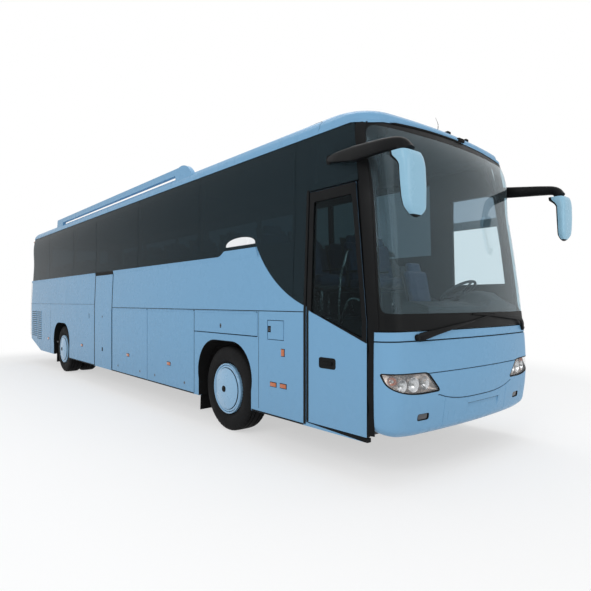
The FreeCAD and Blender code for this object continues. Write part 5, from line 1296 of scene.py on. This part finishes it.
CUSHION, BACK, HEAD = (0.235, 0.222, 0.062), (0.215, 0.300, 0.050), (0.125, 0.085, 0.045)
seat_points, seat_quads = stuffed("cushion_form", CUSHION, 0.016)
seat_points = channelled(seat_points, CUSHION, 1, (-0.15, 0.15), 0.016)
back_points, back_quads = stuffed("back_form", BACK, 0.016)
back_points = channelled(back_points, BACK, 0, (-0.14, 0.14), 0.014)
back_points = channelled(back_points, BACK, 1, (-0.12, 0.06), 0.010)
head_points, head_quads = stuffed("head_form", HEAD, 0.010)
CUSHION_LEAN, BACK_LEAN = 0.06, 0.245
SEAT_PITCH, FIRST_BACK, CABIN_FLOOR, DRIVER_SEAT = 0.810, 4.105, 1.370, (4.975, 0.620, 0.950)
WELL_REAR, WELL_FRONT = -1.235, -0.290


def seat_places():
    """Every seat's place on the floor (x, y, z): two to a bench but over the step well, and the driver's."""
    places = []
    for row in range(12):
        back_x = FIRST_BACK - SEAT_PITCH * row
        over_well = back_x + 0.48 > WELL_REAR and back_x - 0.18 < WELL_FRONT
        for sign in SIGNS[over_well:]:
            places += [(back_x, sign * 0.447, CABIN_FLOOR), (back_x, sign * 0.922, CABIN_FLOOR)]
    return places + [DRIVER_SEAT]


def pads(name, points, quads, lean, offset):
    """One piece made of a pad repeated at every seat, leaning back by an angle and moved by the offset."""
    points = points @ turning("Y", -lean).T
    spots = seat_places()
    mesh = bpy.data.meshes.new(name)
    mesh.from_pydata(np.vstack([points + np.array(spot) + offset for spot in spots]), [],
                     [[index + k * len(points) for index in quad] for k in range(len(spots)) for quad in quads])
    mesh.materials.append(cloth)
    smooth(mesh)
    made = new_object(name, mesh)
    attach(made, "coach_body")


# a back and a head pad stand up: their height runs up and their thickness forward
UPRIGHT = [2, 0, 1]
pads("seat_cushions", seat_points, seat_quads, CUSHION_LEAN, (0.215, 0, 0.452))
pads("seat_backs", back_points[:, UPRIGHT], back_quads, BACK_LEAN, (-0.030, 0, 0.735))
pads("seat_heads", head_points[:, UPRIGHT], head_quads, BACK_LEAN, (-0.116, 0, 1.030))

frames = Moulding()
for x, y, z in seat_places():
    add_block(frames, (x + 0.20, y, z + 0.365), (0.215, 0.205, 0.022), 0.018, 0, 2)
    add_block(frames, (x - 0.085, y, z + 0.735), (0.014, 0.210, 0.345), 0.013, 0, 2, turning("Y", -BACK_LEAN))
    add_block(frames, (x + 0.20, y, z + 0.18), (0.030, 0.030, 0.180), 0.012, 1, 1)
    add_block(frames, (x + 0.20, y, z + 0.012), (0.16, 0.05, 0.012), 0.008, 1, 1)
    if z == CABIN_FLOOR:
        arm_rest = np.sign(y) * (abs(y) - 0.228)
        add_block(frames, (x + 0.14, arm_rest, z + 0.600), (0.150, 0.020, 0.016), 0.012, 0, 2)
    grab = smooth_path([(x - 0.155, y - 0.10, z + 0.98), (x - 0.185, y - 0.07, z + 1.005),
                        (x - 0.185, y + 0.07, z + 1.005), (x - 0.155, y + 0.10, z + 0.98)], 10)
    frames.tube(grab, 0.018, count=6, mark=1)
frame_piece = frames.made("seat_frames", "coach_body", "cab_plastic", cab_plastic, bright)
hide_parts("seats")

# ---------------------------------------------------------------- dashboard and steering wheel
dash = Moulding()
y = np.linspace(-0.648, 1.113, 60)
# the top line across the cab, with a hood over the instruments in front of the driver
top = 1.580 + 0.115 * np.exp(-((y - 0.62) / 0.27) ** 4)
front = np.minimum(6.010, on_nose(y, 1.45)[:, 0] - 0.075)
section = [(5.680, 0.955), (5.640, 1.180), (5.600, 1.380), (5.604, 1.420), (5.640, 1.460), (5.700, top - 0.030),
           (5.720, top - 0.004), (5.760, top), ((5.76 + front) / 2, top - 0.018),
           (front - 0.01, top - 0.052 - 0.05 * (top > 1.62)), (front, 1.45), (front - 0.02, 0.955)]
rings = np.array([stacked(x, y, z) for x, z in section]).transpose(1, 0, 2)
ends = rings.mean(1, keepdims=True) + 0 * rings
dash.grid(np.concatenate([ends[:1], rings, ends[-1:]]), around=True)
for cy, radius in ((0.50, 0.055), (0.62, 0.040), (0.74, 0.055)):
    dial = turned([(0, 0.004), (radius * 0.94, 0.004), (radius, 0.012), (radius * 1.06, 0.010),
                   (radius * 1.08, -0.012)], steps=32, axis="X")
    dash.grid(dial * (-1, 1, 1) @ turning("Y", 0.9).T + (5.672, cy, 1.625), around=True, mark=1)
for cy in (0.10, -0.12, -0.34):
    add_block(dash, (5.612, cy, 1.40), (0.012, 0.075, 0.045), 0.010, 1, 2, turning("Y", -0.35))
add_block(dash, (5.606, 0.02, 1.26), (0.012, 0.12, 0.060), 0.010, 0, 2, turning("Y", -0.2))
dash_piece = dash.made("dash_panel", "coach_body", "cab_plastic", cab_plastic, trim)
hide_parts("dashboard")

RING_MIDDLE, RING_RADIUS = np.array([5.500, 0.620, 1.695]), 0.209
RING_TURN = turning("Y", np.radians(-32))


def on_wheel(points):
    """Points about the steering wheel's own axis, turned and moved to where the wheel stands."""
    return points @ RING_TURN.T + RING_MIDDLE


hand_wheel = Moulding()
turn = np.linspace(0, 2 * np.pi, 64, endpoint=False)[:, None]
small_turn = np.linspace(0, 2 * np.pi, 14, endpoint=False)
grip = 0.0155 + 0.0012 * np.cos(turn * 24)
radius = RING_RADIUS + grip * np.cos(small_turn)
hand_wheel.grid(on_wheel(stacked(radius * np.cos(turn), radius * np.sin(turn), grip * np.sin(small_turn))),
                around=True, along=True)
for angle in (0.0, 2.25, -2.25):
    reach = np.linspace(0.03, 0.205, 10)
    spoke = on_wheel(stacked(reach * np.cos(angle), reach * np.sin(angle), np.linspace(-0.035, -0.002, 10)))
    hand_wheel.tube(spoke, np.linspace(0.060, 0.032, 10), 0.014, 10, 4.0, up=RING_TURN[:, 2])
boss = [(0, -0.012), (0.035, -0.012), (0.052, -0.022), (0.058, -0.040), (0.050, -0.060), (0.034, -0.070),
        (0.030, -0.30), (0.0, -0.30)]
hand_wheel.grid(on_wheel(turned(boss, steps=32, axis="Z")), around=True)
wheel_piece = hand_wheel.made("hand_wheel", "coach_body", "cab_plastic", cab_plastic)
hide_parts("steering_wheel")

# ---------------------------------------------------------------- the tail
TAIL_PLACES = np.linspace(0.0, 2.0, 400)
TAIL_RUN = np.abs(shell(1.0, TAIL_PLACES)[:, 1])


def tail_at(y, height):
    """Where round the plan the tail stands at a distance y from the middle."""
    return np.interp(np.abs(y) * HALF / side_half(height), TAIL_RUN, TAIL_PLACES)


def on_tail(y, height, out=0.0):
    """A point on the tail's surface at a distance y from the middle, out metres proud of it."""
    y, height = floats(y, height)
    at = tail_at(y, height)
    return off_shell(height, np.where(y < 0, at, LAP - at), out)[0]


def louvres(shape, surface, first, last, low, high, slats, out, columns):
    """Hooded slats down a surface(u, height, out): each falls outwards over three fifths of its pitch and turns
    back sharply over a slot. The turned-back underside and the slot are painted dark: painted shade under each
    hood and in the opening."""
    pitch = (high - low) / slats
    top = high - pitch * np.arange(slats)[:, None]
    height = (top - pitch * np.array([0.0, 0.60, 0.66, 0.68, 0.998])).ravel()[:, None]
    u = np.concatenate([[first], np.linspace(first, last, columns), [last]])
    proud = np.repeat(np.tile([0.0008, out, out, 0.0008, 0.0008], slats)[:, None], len(u), 1)
    proud[:, [0, -1]] = -0.003
    # the underside and the slot take the dark finish: painted shade
    tints = np.tile([0, 0, 1, 1, 1], slats)[:len(height) - 1]
    points = surface(u + 0 * proud, height + 0 * proud, proud)
    turn_over = np.cross(points[1, 2] - points[0, 2], points[0, 3] - points[0, 2])
    away = points[1, 2] - (points[1, 0] + points[1, -1]) / 2
    shape.grid(points, mark=np.repeat(tints[:, None], len(u) - 1, 1), flip=float(turn_over @ away) > 0)


LENS_EDGES = np.array([1.047, 1.215, 1.405, 1.590, 1.792])
LENS_TINTS = np.array([2, 0, 1, 0])
for sign, side in SIDES:
    # a tail lamp wraps the corner: four lenses one above another, with dark joints between them; each dome's
    # height is one less the fourth power of the distance from its middle
    height = np.unique(np.concatenate([np.linspace(1.049, 1.790, 46), LENS_EDGES[1:-1] - 0.004,
                                       LENS_EDGES[1:-1] + 0.004]))
    share = np.linspace(0, 1, 26)
    at = between(tail_at(1.074, height)[:, None], side_at(-6.386, height)[:, None], share)[..., 0].T
    cell = np.clip(np.searchsorted(LENS_EDGES, height) - 1, 0, 3)
    place = (height - LENS_EDGES[cell]) / (LENS_EDGES[cell + 1] - LENS_EDGES[cell]) * 2 - 1
    dome = 0.0045 * (1 - np.abs(place[:, None]) ** 4) * (1 - np.abs(2 * share - 1) ** 8) - 0.001
    middles = (height[1:] + height[:-1]) / 2
    near = np.min(np.abs(middles[:, None] - LENS_EDGES[1:-1]), axis=1) < 0.0045
    tints = np.where(near, 3, LENS_TINTS[np.clip(np.searchsorted(LENS_EDGES, middles) - 1, 0, 3)])
    lamp_stack = add_walled(Moulding(), *off_shell(height[:, None], at if sign < 0 else LAP - at, dome, -0.012),
                            np.repeat(tints[:, None], 25, 1), 3, edge_mark=3)
    lamp_stack.made("tail_lamp_" + side, "coach_body", "lamp_lens", red_lens, amber_lens, pale_trim, rubber)

# half width, foot, head and corner radius of the seal's rings
rings = np.array([resampled(box_outline(-a, a, low, high, radius, 10), 200) for a, low, high, radius in (
    (1.000, 2.225, 3.095, 0.07), (0.998, 2.227, 3.093, 0.07), (0.960, 2.262, 3.058, 0.06),
    (0.956, 2.266, 3.054, 0.06), (0.925, 2.295, 3.025, 0.05))])
seal = Moulding().grid(laid(on_tail, rings, [-0.004, 0.0035, 0.0035, -0.0072, -0.0072]), around=True, flip=True)
seal.made("rear_window_seal", "coach_body", "black_trim", rubber, closed=False)

bumper = Moulding()
height, outs = np.array([
    (0.647, -0.004), (0.650, 0.0040), (0.698, 0.0052), (0.700, 0.0014), (0.738, 0.0014), (0.740, 0.0052),
    (0.783, 0.0040), (0.786, -0.004)]).T[..., None]
place = np.linspace(-1.55, 1.55, 121) % LAP
bumper.grid(off_shell(height, place, outs)[0], mark=np.repeat([[0], [0], [1], [1], [1], [0], [0]], 120, 1))
for sign in SIGNS:
    add_block(bumper, on_tail(sign * 0.90, 0.718), (0.006, 0.055, 0.014), 0.004, 2)
bumper.made("rear_bumper", "coach_body", "body_paint", paint, rubber, red_lens, closed=False)

lid_trim = Moulding()
for low_y, high_y in ((-0.860, -0.075), (0.075, 0.860)):
    louvres(lid_trim, on_tail, low_y, high_y, 0.850, 1.330, 12, 0.0055, 12)
plate = resampled(box_outline(-0.260, 0.260, 1.480, 1.592, 0.012, 4), 80)
rings = shrunk(plate, (1.035, 1.03, 1.005, 1.0, 0.5, 0.0))
points = laid(on_tail, rings, [-0.003, 0.0042, 0.0042, 0.0024, 0.0024, 0.0024])
lid_trim.grid(points[:4], around=True, mark=1, flip=True)
lid_trim.grid(points[3:], around=True, mark=2, flip=True)
for y in (-0.62, 0.62):
    lid_trim.lathe([(0, -0.0035), (0.012, -0.0035), (0.0165, -0.003), (0.0185, -0.001), (0.0185, 0.004)],
                   on_tail(y, 1.42, 0.001), 28, "X", 3)
lid_trim.made("engine_lid_trim", "engine_lid", "body_paint", paint, rubber, pale_trim, metal, closed=False)

high_lamps = Moulding()
add_block(high_lamps, on_tail(0.0, 3.160, 0.001), (0.006, 0.120, 0.014), 0.005)
for sign in SIGNS:
    add_block(high_lamps, on_tail(sign * 0.92, 3.165, 0.001), (0.008, 0.040, 0.016), 0.006)
    add_block(high_lamps, shell(3.160, side_at(-6.20, 3.160, sign)), (0.030, 0.006, 0.014), 0.005, 1)
high_lamps.made("high_lamps", "coach_body", "lamp_lens", red_lens, amber_lens)

# ---------------------------------------------------------------- side louvres, arch liners and mud flaps
for sign, side in SIDES:
    vents = Moulding()
    for first, last, low, slats in ((-6.130, -5.690, 0.700, 13), (-5.640, -5.200, 0.640, 14)):
        louvres(vents, lambda u, height, out: on_side(u, height, sign, out), first, last, low, 1.360, slats,
                0.0075, 4)
    vents.made("side_louvres_" + side, "coach_body", "body_paint", paint, rubber, closed=False)

ARCH_HALF, ARCH_TOP, ARCH_SPRING, ARCH_FLAT, ARCH_FOOT, ARCH_OUT = 0.600, 1.105, 0.575, 0.180, 0.360, 1.2775


def arch_line(axle, shift):
    """A wheel arch's outline from foot to foot, moved inwards by shift: two uprights, two arcs and a flat top."""
    half, top = ARCH_HALF - shift, ARCH_TOP - shift
    knee = ARCH_SPRING + 0.72 * (ARCH_TOP - ARCH_SPRING) - 0.7 * shift
    rise = through((-half, ARCH_SPRING), (-0.86 * ARCH_HALF + 0.7 * shift, knee), (-ARCH_FLAT, top), 16)
    line = np.vstack([[(-half, ARCH_FOOT)], rise, rise[::-1] * (-1, 1), [(half, ARCH_FOOT)]])
    return line + (axle, 0)


for sign, side in SIDES:
    arches = Moulding()

    def sheet(*edges, inner=False):
        """A sheet between two (line, distance from the middle plane, lift) edges."""
        arches.grid([stacked(line[:, 0], sign * y, line[:, 1] + lift) for line, y, lift in edges],
                    flip=(sign < 0) == inner)

    for axle, reach, deep, low in ((AXLES["front"], 1.105, 0.705, 0.965), (AXLES["rear"], 0.572, 0.575, 0.76)):
        outer, inner = arch_line(axle, 0.001), arch_line(axle, 0.006)
        sheet((outer, ARCH_OUT, 0), (outer, reach, 0))
        sheet((inner, ARCH_OUT, 0), (inner, reach, 0), inner=True)
        sheet((outer, ARCH_OUT, 0), (inner, ARCH_OUT, 0))
        top = inner[inner[:, 1] > low]
        foot = top * (1, 0) + (0, low)
        for out, within in ((0.0, False), (-0.004, True)):
            sheet((top, reach, out), (top, deep, out), inner=within)
            sheet((top, deep + out, 0), (foot, deep + out, 0), inner=within)
        for end in (-1, 1):
            add_block(arches, (axle + end * 0.492, sign * 0.452, 0.700), (0.118, 0.004, 0.390), 0.003, 1)
    arches.made("arch_liners_" + side, "coach_body", "underside", rubber, closed=False, soft_angle=0.9)

    flaps = Moulding()
    for x, low_y, high_y, foot in ((2.792, 0.940, 1.215, 0.150), (-4.036, 0.640, 1.215, 0.170)):
        z = np.linspace(0.640, foot, 12)[:, None]
        y = np.linspace(low_y, high_y, 8)
        back = x - 0.016 * ((0.640 - z) / 0.47) ** 2 + 0.004 * np.cos((y - low_y) / (high_y - low_y) * 2 * np.pi)
        outer = stacked(back, sign * y, z)
        add_walled(flaps, outer, outer + (0.007, 0, 0))
        add_block(flaps, (x + 0.004, sign * (low_y + high_y) / 2, 0.640), (0.012, (high_y - low_y) / 2, 0.020),
                  0.006, 1)
    flaps.made("mud_flaps_" + side, "coach_body", "underside", rubber, metal)

# ---------------------------------------------------------------- roof unit, exhaust and handrails
unit = Moulding()
rings = []
for inset, z in ((0.000, 3.440), (0.000, 3.505), (0.006, 3.540), (0.022, 3.568), (0.050, 3.582), (0.090, 3.588),
                 (0.200, 3.590), (0.400, 3.591)):
    line = box_outline(-2.580 + inset, 0.680 - inset, inset - 0.552, 0.552 - inset, (0.16, 0.34, 0.34, 0.16), 10)
    rings.append(np.column_stack([resampled(line, 160), np.full(160, z)]))
last = rings[-1] * (1, 0.05, 0) + (0, 0, 3.5915)
rings += [last, np.column_stack([np.clip(last[:, 0], -2.2, 0.3), 0 * last[:, 1], last[:, 2]])]
unit.grid(rings, around=True)
for fan_x in (-2.02, -0.98, 0.06):
    middle = (fan_x, 0, 0)
    unit.lathe([(0.235, 3.588), (0.235, 3.5965), (0.222, 3.5985), (0.212, 3.5965), (0.210, 3.5905)], middle, 56,
               "Z", 1)
    unit.lathe([(0.212, 3.5922), (0.0, 3.5922)], middle, 40, "Z", 1)
    for radius in (0.06, 0.115, 0.17):
        unit.lathe([(radius - 0.003, 3.5965), (radius, 3.5985), (radius + 0.003, 3.5965), (radius, 3.5945)], middle,
                   40, "Z", 1, along=True)
    for angle in np.arange(6) * np.pi / 3 + 0.2:
        reach = np.linspace(0.02, 0.214, 4)
        unit.tube(stacked(fan_x + reach * np.cos(angle), reach * np.sin(angle), 3.5955), 0.006, 0.004, 6, mark=1)
for sign in SIGNS:

    def unit_side(u, height, out):
        """The roof unit's side wall, out metres proud of it."""
        return stacked(u, sign * (0.552 - 0.006 * np.clip((height - 3.505) / 0.035, 0, 1) + out), height)

    for first, last in ((-2.30, -1.42), (-1.34, -0.46), (-0.38, 0.22)):
        louvres(unit, unit_side, first, last, 3.484, 3.536, 4, 0.0035, 2)
unit_piece = unit.made("roof_unit", "coach_body", "unit_cover", cover, trim, soft_angle=0.5)
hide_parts("roof_ac_unit")

pipe = Moulding()
path = smooth_path([(-4.95, 0.30, 0.50), (-5.30, 0.46, 0.44), (-5.85, 0.62, 0.43), (-6.28, 0.68, 0.43),
                    (-6.42, 0.70, 0.425)], 30)
rings = along_path(path, 0.095, count=18, ends=False)
hollow = along_path(path[-4:], 0.083, count=18, ends=False)[::-1]
first, last = [ring.mean(1, keepdims=True) + 0 * ring for ring in (rings[:1], hollow[-1:])]
pipe.grid(np.concatenate([first, rings, hollow, last]), around=True)
pipe.tube([(-5.02, 0.34, 0.49), (-5.05, 0.355, 0.485), (-5.50, 0.53, 0.455), (-5.54, 0.545, 0.45)],
          [0.13, 0.21, 0.21, 0.13], count=24)
pipe.made("exhaust", "coach_body", "bare_metal", metal)

rails = Moulding()
for points in ([(5.56, -1.085, 1.02), (5.60, -1.10, 1.15), (5.60, -1.10, 1.52), (5.52, -1.10, 1.60),
                (5.40, -1.09, 1.58), (5.30, -1.07, 1.40), (5.24, -1.06, 1.05)],
               [(5.06, -0.86, 0.98), (5.06, -0.88, 1.40), (5.10, -0.90, 1.80), (5.16, -0.90, 1.98), (5.14, -0.84, 2.10),
                (5.06, -0.70, 2.12)]):
    rails.tube(smooth_path(points), 0.026, count=10, up=(0, 1, 0))
rails.made("entrance_rails", "coach_body", "cab_plastic", bright)

well = Moulding()
add_block(well, (4.982, -0.815, 0.695), (0.024, 0.412, 0.310), 0.004)
for height in (0.52, 0.70, 0.88):
    add_block(well, (5.006, -0.800, height), (0.004, 0.380, 0.006), 0.003, 1)
well.made("step_well_side", "coach_body", "cab_plastic", cab_plastic, trim)

# ---------------------------------------------------------------- floor, light and camera
WHITE = (1, 1, 1, 1)
FLOOR_HALF, FLOOR_GREY, FADE_START, FADE_END, FLOOR_GLOW = 90.0, (0.95, 0.95, 0.95), 5.0, 10.0, 0.55


def seen_through(tree):
    """1 for a ray that comes from the camera, straight or by way of a mirror or glass; 0 for all the others."""
    path = add(tree, "ShaderNodeLightPath").outputs
    return sums(tree, "MAXIMUM", path["Is Camera Ray"],
                sums(tree, "MAXIMUM", path["Is Glossy Ray"], path["Is Transmission Ray"]))


def floor_finish(name):
    """The floor: a pale lit surface that passes into plain white with distance from the coach."""
    made, tree, shader, where = blank(name)
    specks = noise(tree, where, 30.0, 4.0)
    tree.links.new(blended(tree, specks, FLOOR_GREY, [0.985 * part for part in FLOOR_GREY]),
                   shader.inputs["Base Color"])
    shader.inputs["Roughness"].default_value = 0.9
    shader.inputs["Specular IOR Level"].default_value = 0.1
    flat = add(tree, "ShaderNodeVectorMath", {0: where}, operation="LENGTH").outputs["Value"]
    far = add(tree, "ShaderNodeMapRange", {"Value": flat, "From Min": FADE_START, "From Max": FADE_END},
              interpolation_type="SMOOTHSTEP").outputs["Result"]
    seen = seen_through(tree)
    white = add(tree, "ShaderNodeEmission", {"Color": WHITE, "Strength": 1.0}).outputs[0]
    share = sums(tree, "MAXIMUM", far, FLOOR_GLOW)
    mixed = add(tree, "ShaderNodeMixShader", {0: sums(tree, "MULTIPLY", share, seen), 1: shader.outputs[0], 2: white})
    tree.links.new(mixed.outputs[0], tree.nodes["Material Output"].inputs["Surface"])
    return made


def lamp(name, place, target, size, power):
    """A soft square area light that points at target."""
    data = bpy.data.lights.new(name, "AREA")
    data.shape = "RECTANGLE"
    data.size, data.size_y = size
    data.energy = power
    made = new_object(name, data)
    made.location = place
    made.visible_transmission = False
    made.rotation_euler = (Vector(target) - Vector(place)).to_track_quat("-Z", "Y").to_euler()


scene = bpy.context.scene
scene.world = bpy.data.worlds.new("studio")
scene.world.use_nodes = True
sky = scene.world.node_tree
sky.nodes.clear()
seen = seen_through(sky)
plain = add(sky, "ShaderNodeBackground", {"Color": WHITE, "Strength": 1.0})
soft = add(sky, "ShaderNodeBackground", {"Color": (0.98, 0.99, 1.0, 1), "Strength": 0.56})
either = add(sky, "ShaderNodeMixShader", {0: seen, 1: soft.outputs[0], 2: plain.outputs[0]})
add(sky, "ShaderNodeOutputWorld", {"Surface": either.outputs[0]})

lamp("key", (9.0, -16.0, 11.0), (0, 0, 1.2), (11, 8), 1150)
lamp("front_fill", (19.0, 3.0, 6.0), (3, 0, 1.2), (8, 7), 430)
lamp("overhead", (0.0, 2.0, 14.0), (0, 0, 2), (16, 8), 750)

floor_mesh = bpy.data.meshes.new("ground")
floor_mesh.from_pydata([(x * FLOOR_HALF, y * FLOOR_HALF, 0) for x, y in ((-1, -1), (1, -1), (1, 1), (-1, 1))], [],
                       [(0, 1, 2, 3)])
ground = new_object("ground", floor_mesh)
ground.data.materials.append(floor_finish("ground"))

scene.view_settings.view_transform = "Standard"
camera_data = bpy.data.cameras.new("camera")
camera_data.lens = 30.49
camera_data.sensor_width = 36.0
camera_data.shift_x = -0.0266
camera_data.shift_y = 0.0108
camera_data.clip_end = 400.0
camera = new_object("camera", camera_data)
camera.location = (8.734, -4.49, 1.574)
camera.rotation_euler = Vector((-0.7511, 0.6602, 0)).to_track_quat("-Z", "Y").to_euler()
scene.camera = camera
